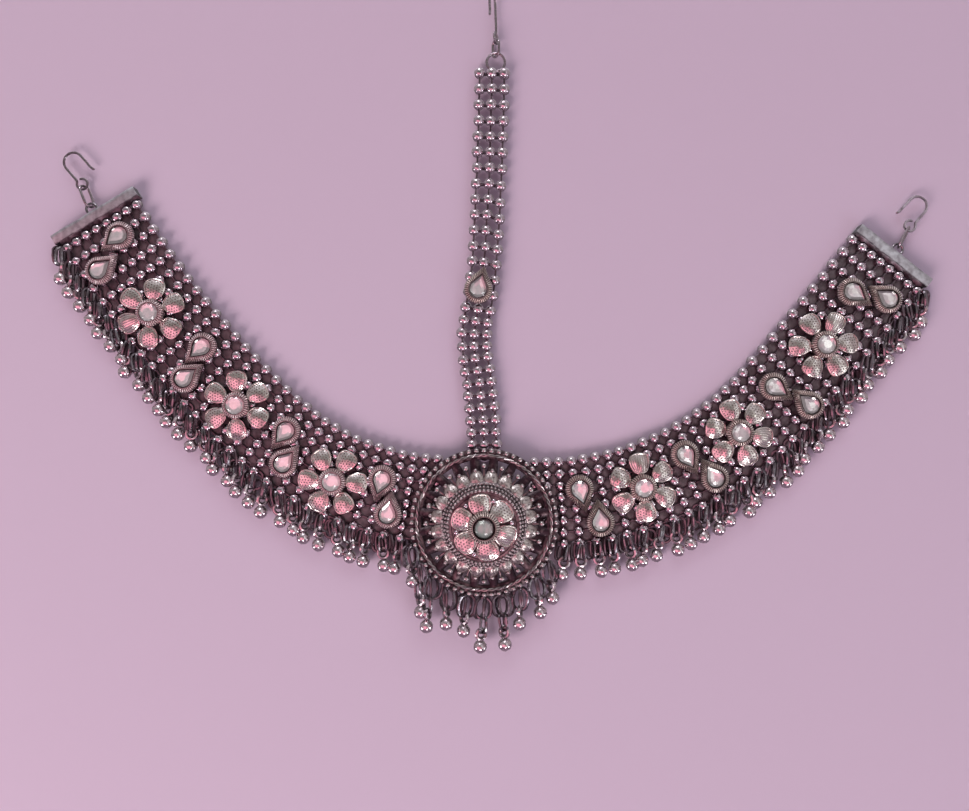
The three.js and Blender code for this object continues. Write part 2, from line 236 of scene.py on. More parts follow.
def pear(radius: float, reach: float, count: int) -> np.ndarray:
    """Gives points evenly round a pear outline, which is a round end with two straight flanks.

    Args:
        radius: Radius of the round end.
        reach: Distance of the tip in radii, along +X.
        count: Number of points.

    Returns:
        The points, from the tip towards +Y.
    """
    tangent = math.acos(1 / reach)
    flank = radius * math.tan(tangent)
    bend = 2 * radius * (math.pi - tangent)
    touch = radius * np.array((math.cos(tangent), math.sin(tangent)))
    tip = np.array((radius * reach, 0.0))
    points = []
    for i in range(count):
        run = (2 * flank + bend) * i / count
        if run < flank:
            points.append(tip + (touch - tip) * run / flank)
        elif run < flank + bend:
            turn = tangent + (run - flank) / radius
            points.append(radius * np.array((math.cos(turn), math.sin(turn))))
        else:
            left = (2 * flank + bend - run) / flank
            points.append(tip + (touch * (1, -1) - tip) * left)
    return np.array(points)


@dataclass(frozen=True)
class ArcRun:
    """A plane curve of runs with a constant bend each.

    The heading is in degrees up from the horizontal, each run is a length and a turn, and side
    -1 mirrors the curve left to right.
    """

    x: float
    z: float
    heading: float
    runs: tuple[tuple[float, float], ...]
    side: int = 1

    @property
    def total(self) -> float:
        """Length of the whole curve."""
        return sum(run for run, _ in self.runs)

    def at(self, distance: float) -> tuple[float, float, float]:
        """Finds a place along the curve.

        Args:
            distance: Length from the curve's start.

        Returns:
            The place's x and z, and the heading there in radians.
        """
        x, z, angle, left = self.x, self.z, math.radians(self.heading), distance
        for length, bend in self.runs:
            run = min(left, length)
            turn = math.radians(bend) * run / length
            chord = run if turn == 0 else 2 * run * math.sin(turn / 2) / turn
            x += self.side * chord * math.cos(angle + turn / 2)
            z += chord * math.sin(angle + turn / 2)
            angle += turn
            left -= run
        return x, z, angle

    def outset(self, distance: float) -> "ArcRun":
        """Gives the curve beside this one.

        Args:
            distance: How far it lies on the outer side of the bend.

        Returns:
            The parallel curve.
        """
        angle = math.radians(self.heading)
        return ArcRun(
            x=self.x + self.side * distance * math.sin(angle),
            z=self.z - distance * math.cos(angle),
            heading=self.heading,
            runs=tuple((run + distance * math.radians(bend), bend) for run, bend in self.runs),
            side=self.side,
        )

    def level_with(self, other: "ArcRun", distance: float) -> float:
        """Finds the length along this curve that lies across from a place on a parallel one.

        Args:
            other: The parallel curve.
            distance: Length along the parallel curve.

        Returns:
            Length along this curve.
        """
        mine = 0.0
        left = distance
        for (length, _), (other_length, _) in zip(self.runs, other.runs):
            run = min(left, other_length)
            mine += length * run / other_length
            left -= run
        return mine

    def points(self, steps: int) -> np.ndarray:
        """Samples the curve in the bench's frame.

        Args:
            steps: Number of equal steps.

        Returns:
            Points with the curve's height as y.
        """
        places = [self.at(self.total * i / steps) for i in range(steps + 1)]
        return np.array([(x, z, 0.0) for x, z, _ in places])


class Side(Enum):
    """The two halves of the jewel, as the viewer sees them."""

    LEFT = "left"
    RIGHT = "right"


# Inner row of balls of each band, from behind the pendant out to the end bar
LIMBS = {
    Side.LEFT: ArcRun(-15.1, -139.2, 2.7, ((49.3, 40.6), (75.9, 15.4)), -1),
    Side.RIGHT: ArcRun(11.5, -140.0, -2.3, ((73.1, 51.5), (51.5, 2.6)), 1),
}


@dataclass
class Shape:
    """A modelled mesh as arrays: points, corners of all faces, corners per face, and how much oxide
    and painted shade darken each point.
    """

    points: np.ndarray
    corners: np.ndarray
    sizes: np.ndarray
    recess: np.ndarray


class Bench:
    """A work bench on which one shape at a time is modelled."""

    # Points this close to a plane count as on it, in millimetres.
    NEAR = 0.01
    # Shares of a wire's radius: what its rounded ends keep, and how close points are merged
    WIRE_END = 0.55
    WIRE_MERGE = 0.01
    piece: bpy.types.Object

    def lay(self, primitive: Callable[..., set[str]], **settings: object) -> None:
        """Adds a primitive alone and opens it for editing.

        Args:
            primitive: Operator that adds it.
            settings: The operator's settings.
        """
        bpy.ops.object.select_all(action="DESELECT")
        primitive(**settings)
        self.piece = bpy.context.object
        bpy.ops.object.mode_set(mode="EDIT")
        bpy.ops.mesh.select_mode(type="VERT")
        bpy.ops.mesh.select_all(action="SELECT")

    def pick_points(self, test: Callable[[Vector], bool]) -> None:
        """Selects points and what lies between them.

        Args:
            test: Tells from a point's place whether it is selected.
        """
        bpy.ops.mesh.select_mode(type="VERT")
        bpy.ops.mesh.select_all(action="DESELECT")
        edit = bmesh.from_edit_mesh(self.piece.data)
        for point in edit.verts:
            point.select_set(test(point.co))
        edit.select_flush_mode()
        bmesh.update_edit_mesh(self.piece.data)

    def pick_faces(self, test: Callable[[Vector], bool]) -> None:
        """Selects faces.

        Args:
            test: Tells from a face's middle whether it is selected.
        """
        bpy.ops.mesh.select_mode(type="FACE")
        bpy.ops.mesh.select_all(action="DESELECT")
        edit = bmesh.from_edit_mesh(self.piece.data)
        for face in edit.faces:
            face.select_set(test(face.calc_center_median()))
        bmesh.update_edit_mesh(self.piece.data)

    def move(self, way: Sequence[float]) -> None:
        """Moves what is selected."""
        bpy.ops.transform.translate(value=tuple(way))

    def resize(self, shares: Sequence[float]) -> None:
        """Scales what is selected about the origin."""
        bpy.ops.transform.resize(value=tuple(shares), center_override=(0, 0, 0))

    def halve(self, waist: float) -> None:
        """Cuts the piece across at its middle and scales it there.

        Args:
            waist: Share of its width that it gets at the middle.
        """
        bpy.ops.mesh.bisect(plane_co=(0, 0, 0), plane_no=(0, 0, 1))
        self.pick_points(lambda p: abs(p.z) < self.NEAR)
        self.resize((waist, waist, 1))

    def lay_outline(self, outline: np.ndarray) -> None:
        """Lays a closed line on the bench.

        Args:
            outline: The line's points, a multiple of four, in order from +X towards +Y.
        """
        count = len(outline)
        self.lay(bpy.ops.mesh.primitive_circle_add, vertices=count, radius=1)

        def drawn(p: np.ndarray) -> np.ndarray:
            """Moves the circle's points onto the outline."""
            turn = np.round(np.arctan2(p[:, 1], p[:, 0]) / (2 * np.pi) * count).astype(int)
            return np.c_[outline[turn % count], p[:, 2]]

        self.press(drawn)
        bpy.ops.mesh.select_all(action="SELECT")

    def lay_ring(
        self, half_width: float, half_height: float, wire: float, steps: int, sides: int
    ) -> None:
        """Lays an upright ring of round wire, drawn out to an oval.

        Args:
            half_width: Half its width at the middle of the wire.
            half_height: Half its height at the middle of the wire.
            wire: Radius of the wire.
            steps: Number of faces along the wire.
            sides: Number of faces round the wire.
        """
        self.lay(
            bpy.ops.mesh.primitive_torus_add,
            major_segments=steps,
            minor_segments=sides,
            major_radius=half_width,
            minor_radius=wire,
        )
        for way in (1, -1):
            self.pick_points(lambda p: way * p.y > self.NEAR)
            self.move((0, way * (half_height - half_width), 0))

    def lay_wire(self, points: np.ndarray, radius: float, closed: bool = False) -> None:
        """Lays a round wire along points, with its free ends rounded off.

        Args:
            points: Points on the wire's middle line.
            radius: Radius of the wire.
            closed: Whether the wire's end joins its start.
        """
        curve = bpy.data.curves.new("wire", "CURVE")
        curve.dimensions = "3D"
        curve.bevel_depth = radius
        curve.bevel_resolution = 1
        curve.use_fill_caps = not closed
        line = curve.splines.new("POLY")
        line.points.add(len(points) - 1)
        line.points.foreach_set("co", np.c_[points, np.ones(len(points))].ravel())
        line.use_cyclic_u = closed
        if not closed:
            line.points[0].radius = line.points[-1].radius = self.WIRE_END
        wire = bpy.data.objects.new("wire", curve)
        bpy.context.collection.objects.link(wire)
        select_only(wire)
        bpy.ops.object.convert(target="MESH")
        self.piece = bpy.context.object
        bpy.ops.object.mode_set(mode="EDIT")
        bpy.ops.mesh.select_all(action="SELECT")
        bpy.ops.mesh.remove_doubles(threshold=radius * self.WIRE_MERGE)
        self.turn_out()

    def draw_up(self, rows: Rows, twist: float = 0.0) -> None:
        """Draws the selected outline up, ring by ring.

        Args:
            rows: Share of the outline's size and height of each ring, from the first.
            twist: Degrees by which each ring is turned against the one below it.
        """
        (share, height), *others = rows
        self.resize((share, share, 1))
        self.move((0, 0, height))
        for next_share, next_height in others:
            rise = (0, 0, next_height - height)
            bpy.ops.mesh.extrude_region_move(TRANSFORM_OT_translate={"value": rise})
            ratio = next_share / share
            self.resize((ratio, ratio, 1))
            if twist:
                bpy.ops.transform.rotate(
                    value=math.radians(twist), orient_axis="Z", center_override=(0, 0, 0)
                )
            share, height = next_share, next_height

    def close(self) -> None:
        """Fills the open outlines and turns all faces outwards."""
        bpy.ops.mesh.select_all(action="SELECT")
        bpy.ops.mesh.fill_holes(sides=0)
        self.turn_out()

    def bridge(self) -> None:
        """Joins the two open outlines and turns all faces outwards."""
        bpy.ops.mesh.select_mode(type="EDGE")
        bpy.ops.mesh.select_all(action="DESELECT")
        bpy.ops.mesh.select_non_manifold()
        bpy.ops.mesh.bridge_edge_loops()
        self.turn_out()

    def turn_out(self) -> None:
        """Turns all faces outwards."""
        bpy.ops.mesh.select_all(action="SELECT")
        bpy.ops.mesh.normals_make_consistent(inside=False)

    def press(self, form: Callable[[np.ndarray], np.ndarray]) -> None:
        """Presses all points into a form.

        Args:
            form: Gives the points' new places from their old ones.
        """
        bpy.ops.object.mode_set(mode="OBJECT")
        mesh = self.piece.data
        flat = np.empty(len(mesh.vertices) * 3)
        mesh.vertices.foreach_get("co", flat)
        mesh.vertices.foreach_set("co", form(flat.reshape(-1, 3)).ravel())
        mesh.update()
        bpy.ops.object.mode_set(mode="EDIT")

    def modify(self, kind: str, **settings: object) -> None:
        """Adds a modifier and applies it.

        Args:
            kind: Type of the modifier.
            settings: The modifier's properties.
        """
        bpy.ops.object.mode_set(mode="OBJECT")
        modifier = self.piece.modifiers.new(kind.lower(), kind)
        for key, value in settings.items():
            setattr(modifier, key, value)
        bpy.ops.object.modifier_apply(modifier=modifier.name)
        bpy.ops.object.mode_set(mode="EDIT")

    def take(self, recess: OxideAndShade = 0.0) -> Shape:
        """Takes the finished shape off the bench.

        Args:
            recess: How much oxide, and on some parts painted shade, darkens its points.

        Returns:
            The shape.
        """
        bpy.ops.object.mode_set(mode="OBJECT")
        mesh = self.piece.data
        points = np.empty(len(mesh.vertices) * 3)
        mesh.vertices.foreach_get("co", points)
        points = points.reshape(-1, 3)
        # Operators give the faces in no fixed order, so each starts at its first point, sorted.
        rings = [list(face.vertices) for face in mesh.polygons]
        starts = [ring.index(min(ring)) for ring in rings]
        faces = sorted(ring[start:] + ring[:start] for ring, start in zip(rings, starts))
        sizes = np.array([len(face) for face in faces])
        shelter = recess(points) if callable(recess) else np.full(len(points), recess)
        bpy.data.objects.remove(self.piece)
        bpy.data.meshes.remove(mesh)
        return Shape(points, np.concatenate(faces), sizes, np.clip(shelter, 0, 1))


@dataclass
class StockedBench(Bench):
    """The bench with the shapes that several sub-assemblies use, modelled once."""

    ball_back: float = -0.5
    ball_tarnish: float = 0.2
    ball_fade: float = 0.9
    ball_back_tarnish: float = 0.3
    link_radius: float = 0.36
    link_sides: int = 6
    link_waist: float = 0.75
    link_tarnish: float = 0.4
    knuckle_sides: int = 8
    knuckle_rows: Rows = ((0.8, -0.35), (1.0, -0.15), (0.96, 0.05), (0.55, 0.2))
    # Darkness of the bosses: painted shade between the balls
    knuckle_painted_shade: float = 0.5
    oblong_steps: int = 28
    oblong_sides: int = 10
    oblong_squeeze: Triple = (1.03, 1.0, 0.9)
    oblong_tarnish: float = 0.2
    ball: Shape = field(init=False)
    link: Shape = field(init=False)
    knuckle: Shape = field(init=False)

    def __post_init__(self) -> None:
        """Models the stock."""
        self.ball = self.model_ball()
        self.link = self.model_link()
        self.knuckle = self.model_knuckle()

    def model_ball(self) -> Shape:
        """Models a ball of radius 1 from a cube of three faces a side.

        Returns:
            The ball, bright in front, tarnished on its sides and half rubbed on its back.
        """
        self.lay(bpy.ops.mesh.primitive_cube_add, size=2)
        bpy.ops.mesh.subdivide(number_cuts=2)
        self.modify("CAST", cast_type="SPHERE", factor=1.0, size=1.0, use_radius_as_size=False)
        self.press(lambda p: p / np.linalg.norm(p, axis=1)[:, None])

        def rubbed(p: np.ndarray) -> np.ndarray:
            """Leaves more tarnish the further back a point of the side lies."""
            side = self.ball_tarnish - self.ball_fade * p[:, 2]
            return np.where(p[:, 2] > self.ball_back, side, self.ball_back_tarnish)

        return self.take(rubbed)

    def model_link(self) -> Shape:
        """Models a short waisted wire, one millimetre long.

        Returns:
            The wire, along +Z.
        """
        settings = {"vertices": self.link_sides, "radius": self.link_radius, "depth": 1.0}
        self.lay(bpy.ops.mesh.primitive_cylinder_add, **settings)
        self.halve(self.link_waist)
        return self.take(self.link_tarnish)

    def model_knuckle(self) -> Shape:
        """Models the low boss in which the wires between four balls cross.

        Returns:
            The boss, of radius 1.
        """
        self.lay(bpy.ops.mesh.primitive_circle_add, vertices=self.knuckle_sides, radius=1)
        self.draw_up(self.knuckle_rows)
        self.close()
        # The boss is painted dark: painted shade for the gaps between the balls
        return self.take(self.knuckle_painted_shade)

    def model_oblong(self, half_width: float, half_height: float) -> Shape:
        """Models a ring of the jewel's stout wire, drawn out to an oblong.

        Args:
            half_width: Half its width at the middle of the wire.
            half_height: Half its height at the middle of the wire.

        Returns:
            The ring, upright and a little flattened on its left, where its ends meet.
        """
        self.lay_ring(half_width, half_height, WIRE / 2, self.oblong_steps, self.oblong_sides)
        self.pick_points(lambda p: p.x < -half_width)
        self.resize(self.oblong_squeeze)
        return self.take(self.oblong_tarnish)


@dataclass(frozen=True)
class OxidisedSilver:
    """Silver plate blackened all over and polished back where it stands proud.

    Hollows stay plum black and dull, and so do the parts given painted shade; high places give sharp
    bright reflections, and a mottle of half rubbed patches lies between. Mottle, grain and relief
    are sizes in millimetres.
    """

    name: str
    silver: str
    oxide: str = "#33252b"
    polish: float = 0.2
    dull: float = 0.55
    mottle: float = 1.6
    mottling: float = 0.35
    mottle_range: tuple[float, float] = (0.3, 0.7)
    grain: float = 0.35
    relief: float = 0.03
    relief_strength: float = 0.6

    def material(self) -> bpy.types.Material:
        """Makes the material.

        Returns:
            The material.
        """
        made = bpy.data.materials.new(self.name)
        tree = bare_tree(made)
        place = {"Vector": (add_node(tree, "TexCoord"), "Object")}
        recess = add_node(tree, "Attribute", {"attribute_name": "recess"})
        # Patches of rubbed and unrubbed plate, a millimetre or two across
        patches = {"Scale": 1 / (self.mottle * MM), "Detail": 3.0}
        mottle = add_node(tree, "TexNoise", patches, place)
        low, high = self.mottle_range
        ends = {"To Min": -self.mottling, "To Max": self.mottling}
        ends |= {"From Min": low, "From Max": high}
        swing = add_node(tree, "MapRange", ends, {"Value": (mottle, 0)})
        # Oxide, with painted shade on some parts, plus the mottle, sets how dark and dull each point
        # is
        links = {0: (recess, "Fac"), 1: (swing, 0)}
        tarnish = add_node(tree, "Math", {"operation": "ADD", "use_clamp": True}, links)
        tones = {"data_type": "RGBA", 6: linear(self.silver), 7: linear(self.oxide)}
        colour = add_node(tree, "Mix", tones, {0: (tarnish, 0)})
        ends = {"To Min": self.polish, "To Max": self.dull}
        roughness = add_node(tree, "MapRange", ends, {"Value": (tarnish, 0)})
        # Cast skin under the polish
        skin = add_node(tree, "TexNoise", {"Scale": 1 / (self.grain * MM), "Detail": 2.0}, place)
        depth = {"Strength": self.relief_strength, "Distance": self.relief * MM}
        bump = add_node(tree, "Bump", depth, {"Height": (skin, 0)})
        links = {"Base Color": (colour, 2), "Roughness": (roughness, 0), "Normal": (bump, 0)}
        shader = add_node(tree, "BsdfPrincipled", {"Metallic": 1.0}, links)
        add_node(tree, "OutputMaterial", links={"Surface": (shader, 0)})
        return made


@dataclass(frozen=True)
class SetGlass:
    """Cut glass with silver foil behind it.

    Each facet mirrors its own part of the room under a clear glossy face, and the foil's
    unevenness makes it milky. The foil lies in a hollow, so it mirrors the room upside down.
    Cloud and ripple are sizes in millimetres.
    """

    name: str
    foil: str = "#f3eeea"
    foil_shade: float = 0.62
    metallic: float = 0.45
    roughness: float = 0.15
    cloud: float = 1.4
    ripple: float = 0.04
    ripple_strength: float = 0.5
    hollow: float = 0.6
    face_roughness: float = 0.03
    face_ior: float = 1.52

    def material(self) -> bpy.types.Material:
        """Makes the material.

        Returns:
            The material.
        """
        made = bpy.data.materials.new(self.name)
        tree = bare_tree(made)
        place = {"Vector": (add_node(tree, "TexCoord"), "Object")}
        foil = add_node(tree, "TexNoise", {"Scale": 1 / (self.cloud * MM), "Detail": 2.0}, place)
        bright = linear(self.foil)
        dim = tuple(self.foil_shade * part for part in bright[:3]) + (1.0,)
        colour = add_node(tree, "Mix", {"data_type": "RGBA", 6: dim, 7: bright}, {0: (foil, 0)})
        face = add_node(tree, "NewGeometry")
        shares = {"operation": "MULTIPLY", 1: (-self.hollow, 1.0, -self.hollow)}
        turned = add_node(tree, "VectorMath", shares, {0: (face, "Normal")})
        behind = add_node(tree, "VectorMath", {"operation": "NORMALIZE"}, {0: (turned, 0)})
        depth = {"Strength": self.ripple_strength, "Distance": self.ripple * MM}
        ripple = add_node(tree, "Bump", depth, {"Height": (foil, 0), "Normal": (behind, 0)})
        settings = {
            "Metallic": self.metallic,
            "Roughness": self.roughness,
            "Coat Weight": 1.0,
            "Coat Roughness": self.face_roughness,
            "Coat IOR": self.face_ior,
        }
        links = {"Base Color": (colour, 2), "Normal": (ripple, 0)}
        shader = add_node(tree, "BsdfPrincipled", settings, links)
        add_node(tree, "OutputMaterial", links={"Surface": (shader, 0)})
        return made


class Finish(Enum):
    """The finishes of the whole jewel, each made once."""

    # Rubbed bright in front, with small sharp reflections
    BALLS = OxidisedSilver("oxidised_silver_balls", "#bbafb6", "#463740", polish=0.12, mottling=0.12)
    # Wire that keeps its oxide, and so stays dark between the balls
    LINKS = OxidisedSilver("oxidised_silver_mesh_wire", "#75696f", "#463a41", polish=0.35, grain=0.5)
    # Dark dull bosses behind the mesh, painted shade for the gaps between the balls, against which
    # the balls stand out
    BLACK = OxidisedSilver("blackened_silver_mesh_back", "#7c7578", "#5d5659", polish=0.5, dull=0.75)
    # The brightest of the small metal, because drops are rubbed most
    DROPS = OxidisedSilver("oxidised_silver_drops", "#cbbfc3", polish=0.15, mottling=0.2)
    # Smooth grey wire with long thin highlights
    RINGS = OxidisedSilver("drawn_silver_jump_rings", "#878287", polish=0.15, mottling=0.4)
    # Paler and stouter wire with patches of oxide
    HOOKS = OxidisedSilver("drawn_silver_hook_wire", "#a2979d", "#4a3c43", polish=0.15)
    # Thin bright sheet that mirrors the room, with dark dots or ribs
    PETALS = OxidisedSilver(
        "stamped_silver_petals", "#dcd4d0", "#574846", polish=0.16, mottling=0.2, relief=0.05
    )
    # Soft pale gleam on the ribs, and dark between them
    BEZELS = OxidisedSilver("milled_silver_bezels", "#ece2dc", "#493c3a", polish=0.34, mottling=0.1)
    # The same, painted paler, as painted light on the left side
    WORN_BEZELS = OxidisedSilver(
        "worn_milled_silver_bezels", "#f6e8e8", "#6b5859", polish=0.34, mottling=0.1
    )
    # Dark cast work with half dull high places
    PENDANT = OxidisedSilver("cast_silver_pendant", "#a89b9b", "#3c3036", polish=0.28, mottling=0.3)
    # Rope and granules, a little brighter than the cast work under them
    ROPE = OxidisedSilver("twisted_silver_rope", "#aba3a3", "#453b3e", polish=0.3, mottling=0.2)
    # Uneven cast faces, patchy with bright and black
    LEAVES = OxidisedSilver(
        "cast_silver_leaves", "#b1a9a5", polish=0.28, mottle=0.6, mottling=0.6, relief=0.14
    )
    # Pale grey plate, nearly matt and stained
    BARS = OxidisedSilver("folded_tin_plate", "#c4c4c9", "#5d575c", polish=0.36, dull=0.6)
    # Milky facets, each with its own flash of the room
    STONES = SetGlass("foil_backed_cut_glass")
    # A smooth dim stone with one soft highlight
    CABOCHON = SetGlass("polished_grey_green_glass", "#a7b5aa", metallic=0.15, roughness=0.22)

    @cached_property
    def material(self) -> bpy.types.Material:
        """The finish's material, made when first asked for."""
        return self.value.material()


def bezel_finish(seat: Matrix) -> Finish:
    """Gives the finish of a bezel at a place: paler on the left, as painted light."""
    return Finish.WORN_BEZELS if seat.translation.x < PAINTED_LIGHT_LEFT_OF * MM else Finish.BEZELS


@dataclass
class Assembly:
    """Placed copies of shapes that make up one piece of the jewel."""

    name: str
    node: str
    slot: str
    smooth: float = METAL_SMOOTH
    layers: list[tuple[Shape, np.ndarray, Finish]] = field(default_factory=list)

    def add(self, shape: Shape, places: Iterable[Matrix], finish: Finish) -> "Assembly":
        """Adds copies of a shape.

        Args:
            shape: The shape.
            places: A matrix for each copy, from the bench to the jewel's frame.
            finish: Finish of the copies.

        Returns:
            The assembly.
        """
        self.layers.append((shape, np.array([np.array(m) for m in places]), finish))
        return self

    def build(self) -> None:
        """Joins the copies to one mesh, which rides on the frame and stands for its node."""
        points, corners, sizes, recess, finish_of = [], [], [], [], []
        finishes: list[Finish] = []
        offset = 0
        for shape, places, finish in self.layers:
            if finish not in finishes:
                finishes.append(finish)
            count = len(places)
            number = len(shape.points)
            solid = np.c_[shape.points, np.ones(number)]
            points.append(np.einsum("kij,nj->kni", places[:, :3], solid).reshape(-1, 3))
            shifts = offset + np.arange(count, dtype=np.int64) * number
            corners.append((shape.corners[None, :] + shifts[:, None]).ravel())
            sizes.append(np.tile(shape.sizes, count))
            recess.append(np.tile(shape.recess, count))
            finish_of.append(np.full(count * len(shape.sizes), finishes.index(finish)))
            offset += count * number
        mesh = bpy.data.meshes.new(self.name)
        self.fill(mesh, *map(np.concatenate, (points, corners, sizes, recess, finish_of)))
        for finish in finishes:
            mesh.materials.append(finish.material)
        made = bpy.data.objects.new(self.name, mesh)
        bpy.context.scene.collection.objects.link(made)
        select_only(made)
        bpy.ops.object.shade_smooth_by_angle(angle=math.radians(self.smooth))
        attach(made, "root")
        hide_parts(self.node)
        LOG.info("%s: %d faces", self.name, len(mesh.polygons))

    @staticmethod
    def fill(
        mesh: bpy.types.Mesh,
        points: np.ndarray,
        corners: np.ndarray,
        sizes: np.ndarray,
        recess: np.ndarray,
        finish_of: np.ndarray,
    ) -> None:
        """Fills an empty mesh from arrays.

        Args:
            mesh: The mesh.
            points: Its points.
            corners: Point of each face corner.
            sizes: Corners of each face.
            recess: Oxide and painted shade of each point.
            finish_of: Number of each face's material.
        """
        mesh.vertices.add(len(points))
        mesh.vertices.foreach_set("co", points.ravel())
        mesh.loops.add(len(corners))
        mesh.loops.foreach_set("vertex_index", corners.astype(np.int32))
        mesh.polygons.add(len(sizes))
        starts = np.concatenate(([0], np.cumsum(sizes)[:-1]))
        mesh.polygons.foreach_set("loop_start", starts.astype(np.int32))
        mesh.polygons.foreach_set("material_index", finish_of.astype(np.int32))
        shelter = mesh.attributes.new("recess", "FLOAT", "POINT")
        shelter.data.foreach_set("value", recess.astype(np.float32))
        mesh.update(calc_edges=True)
        mesh.validate()


@dataclass
class BallMesh:
    """Rows of small balls joined by short wires, side by side and along their rows."""

    bench: StockedBench
    scatter: float = 0.12
    ball_sizes: tuple[float, float] = (0.95, 1.03)
    cross_depth: float = 0.35
    knuckle_size: tuple[float, float] = (2.4, 1.9)
    knuckle_depth: float = 0.6
    seed: int = 11

    def lay(
        self,
        name: str,
        node: str,
        grid: np.ndarray,
        radius: float,
        girth: float = 1.0,
        backed: bool = False,
    ) -> Assembly:
        """Lays out a mesh of balls.

        Args:
            name: Name of the piece.
            node: CAD node that it stands for.
            grid: Places of the balls, by row and by column along the row.
            radius: Radius of a ball.
            girth: How many times as thick as usual the wires side by side are.
            backed: Whether dark bosses fill the back of the mesh between the balls, as painted
                shade.

        Returns:
            The mesh, ready to build.
        """
        luck = random.Random(self.seed)
        places = [
            [
                Vector(spot) + Vector(luck.uniform(-self.scatter, self.scatter) for _ in range(3))
                for spot in line
            ]
            for line in grid
        ]
        balls = [
            facing(*place, luck.uniform(0, 360))
            @ Matrix.Scale(radius * luck.uniform(*self.ball_sizes), 4)
            for line in places
            for place in line
        ]
        along = [spanning(a, b) for line in places for a, b in zip(line, line[1:])]
        behind = Vector((0, self.cross_depth * radius, 0))
        across = [
            spanning(a + behind, b + behind, girth)
            for line, following in zip(places, places[1:])
            for a, b in zip(line, following)
        ]
        mesh = Assembly(name, node, "ball_mesh")
        mesh.add(self.bench.ball, balls, Finish.BALLS)
        mesh.add(self.bench.link, along + across, Finish.LINKS)
        if backed:
            mesh.add(self.bench.knuckle, self.knuckles(grid), Finish.BLACK)
        return mesh

    def knuckles(self, grid: np.ndarray) -> list[Matrix]:
        """Gives the places of the bosses between the balls.

        Args:
            grid: Places of the balls.

        Returns:
            A matrix for each boss.
        """
        middles = (grid[:-1, :-1] + grid[1:, :-1] + grid[:-1, 1:] + grid[1:, 1:]) / 4
        ways = grid[:-1, 1:] - grid[:-1, :-1]
        stretch = Matrix.Diagonal((*self.knuckle_size, 1, 1))
        luck = random.Random(self.seed)
        places = []
        for (x, y, z), way in zip(middles.reshape(-1, 3), ways.reshape(-1, 3)):
            turn = math.degrees(math.atan2(way[2], way[0]))
            depth = y + self.knuckle_depth + luck.uniform(-self.scatter, self.scatter)
            places.append(facing(x, depth, z, turn) @ stretch)
        return places


@dataclass
class Band:
    """A woven band of eight rows of balls."""

    side: Side
    mesh: BallMesh
    radius: float = 1.72

    def build(self) -> None:
        """Builds the band."""
        limb = LIMBS[self.side]
        outer = limb.outset(BAND_ACROSS)
        span = outer.total - BALL
        steps = [BALL / 2 + span * i / (BAND_COLUMNS - 1) for i in range(BAND_COLUMNS)]
        rows = []
        for row in range(BAND_ROWS):
            path = limb.outset(row * BAND_PITCH)
            spots = [path.at(path.level_with(outer, step)) for step in steps]
            rows.append([(x, MESH_PLANE, z) for x, z, _ in spots])
        name = f"band_{self.side.value}"
        self.mesh.lay(f"{name}_balls", name, np.array(rows), self.radius, backed=True).build()


@dataclass
class Drops:
    """Models the eyelets, the jump rings, and the small balls with a thick eye each."""

    bench: StockedBench
    ball_radius: float = 2.05
    ball_taper: float = 0.35
    ball_sag: float = 0.08
    ball_tarnish: float = 0.45
    ball_seat: float = 0.9
    eye_radius: float = 1.45
    eye_wire: float = 0.6
    eye_faces: tuple[int, int] = (14, 7)
    eye_swell: float = 1.35
    eye_swell_below: float = 0.6
    eye_seat: float = 0.55
    eye_tarnish: tuple[float, float] = (0.15, 0.4)
    ring_wire: float = 0.45
    ring_faces: tuple[int, int] = (16, 6)
    ring_tarnish: float = 0.3
    eyelet_radius: float = 0.75
    eyelet_wire: float = 0.28

    def model_ring(self, half_width: float, half_height: float, wire: float) -> Shape:
        """Models an upright oval ring from its half width, its half height and its wire's radius."""
        self.bench.lay_ring(half_width, half_height, wire, *self.ring_faces)
        return self.bench.take(self.ring_tarnish)

    def model_drop(self) -> Shape:
        """Models a ball drawn up into its thick eye.

        Returns:
            The drop, hanging from the middle of its eye's hole.
        """
        self.bench.lay_ring(self.eye_radius, self.eye_radius, self.eye_wire, *self.eye_faces)
        self.bench.pick_points(lambda p: p.y < -self.eye_swell_below * self.eye_radius)
        self.bench.resize((1, 1, self.eye_swell))
        outside, inside = self.eye_tarnish
        eye = self.bench.take(
            lambda p: outside + inside * (np.hypot(p[:, 0], p[:, 1]) < self.eye_radius)
        )
        stock = self.bench.ball
        # Turns the ball's front up, towards its eye
        turn_up = np.array(((1, 0, 0), (0, 0, -1), (0, 1, 0)))
        ball = stock.points @ turn_up
        high = np.clip(ball[:, 1], 0, 1)
        ball[:, (0, 2)] *= 1 - self.ball_taper * high[:, None] ** 2
        ball[:, 1] -= self.ball_sag * np.clip(-ball[:, 1], 0, 1) ** 2
        ball *= self.ball_radius
        ball[:, 1] -= (
            self.eye_radius + self.eye_seat * self.eye_wire + self.ball_seat * self.ball_radius
        )
        return Shape(
            np.vstack((eye.points, ball)),
            np.concatenate((eye.corners, stock.corners + len(eye.points))),
            np.concatenate((eye.sizes, stock.sizes)),
            np.concatenate((eye.recess, self.ball_tarnish * high)),
        )


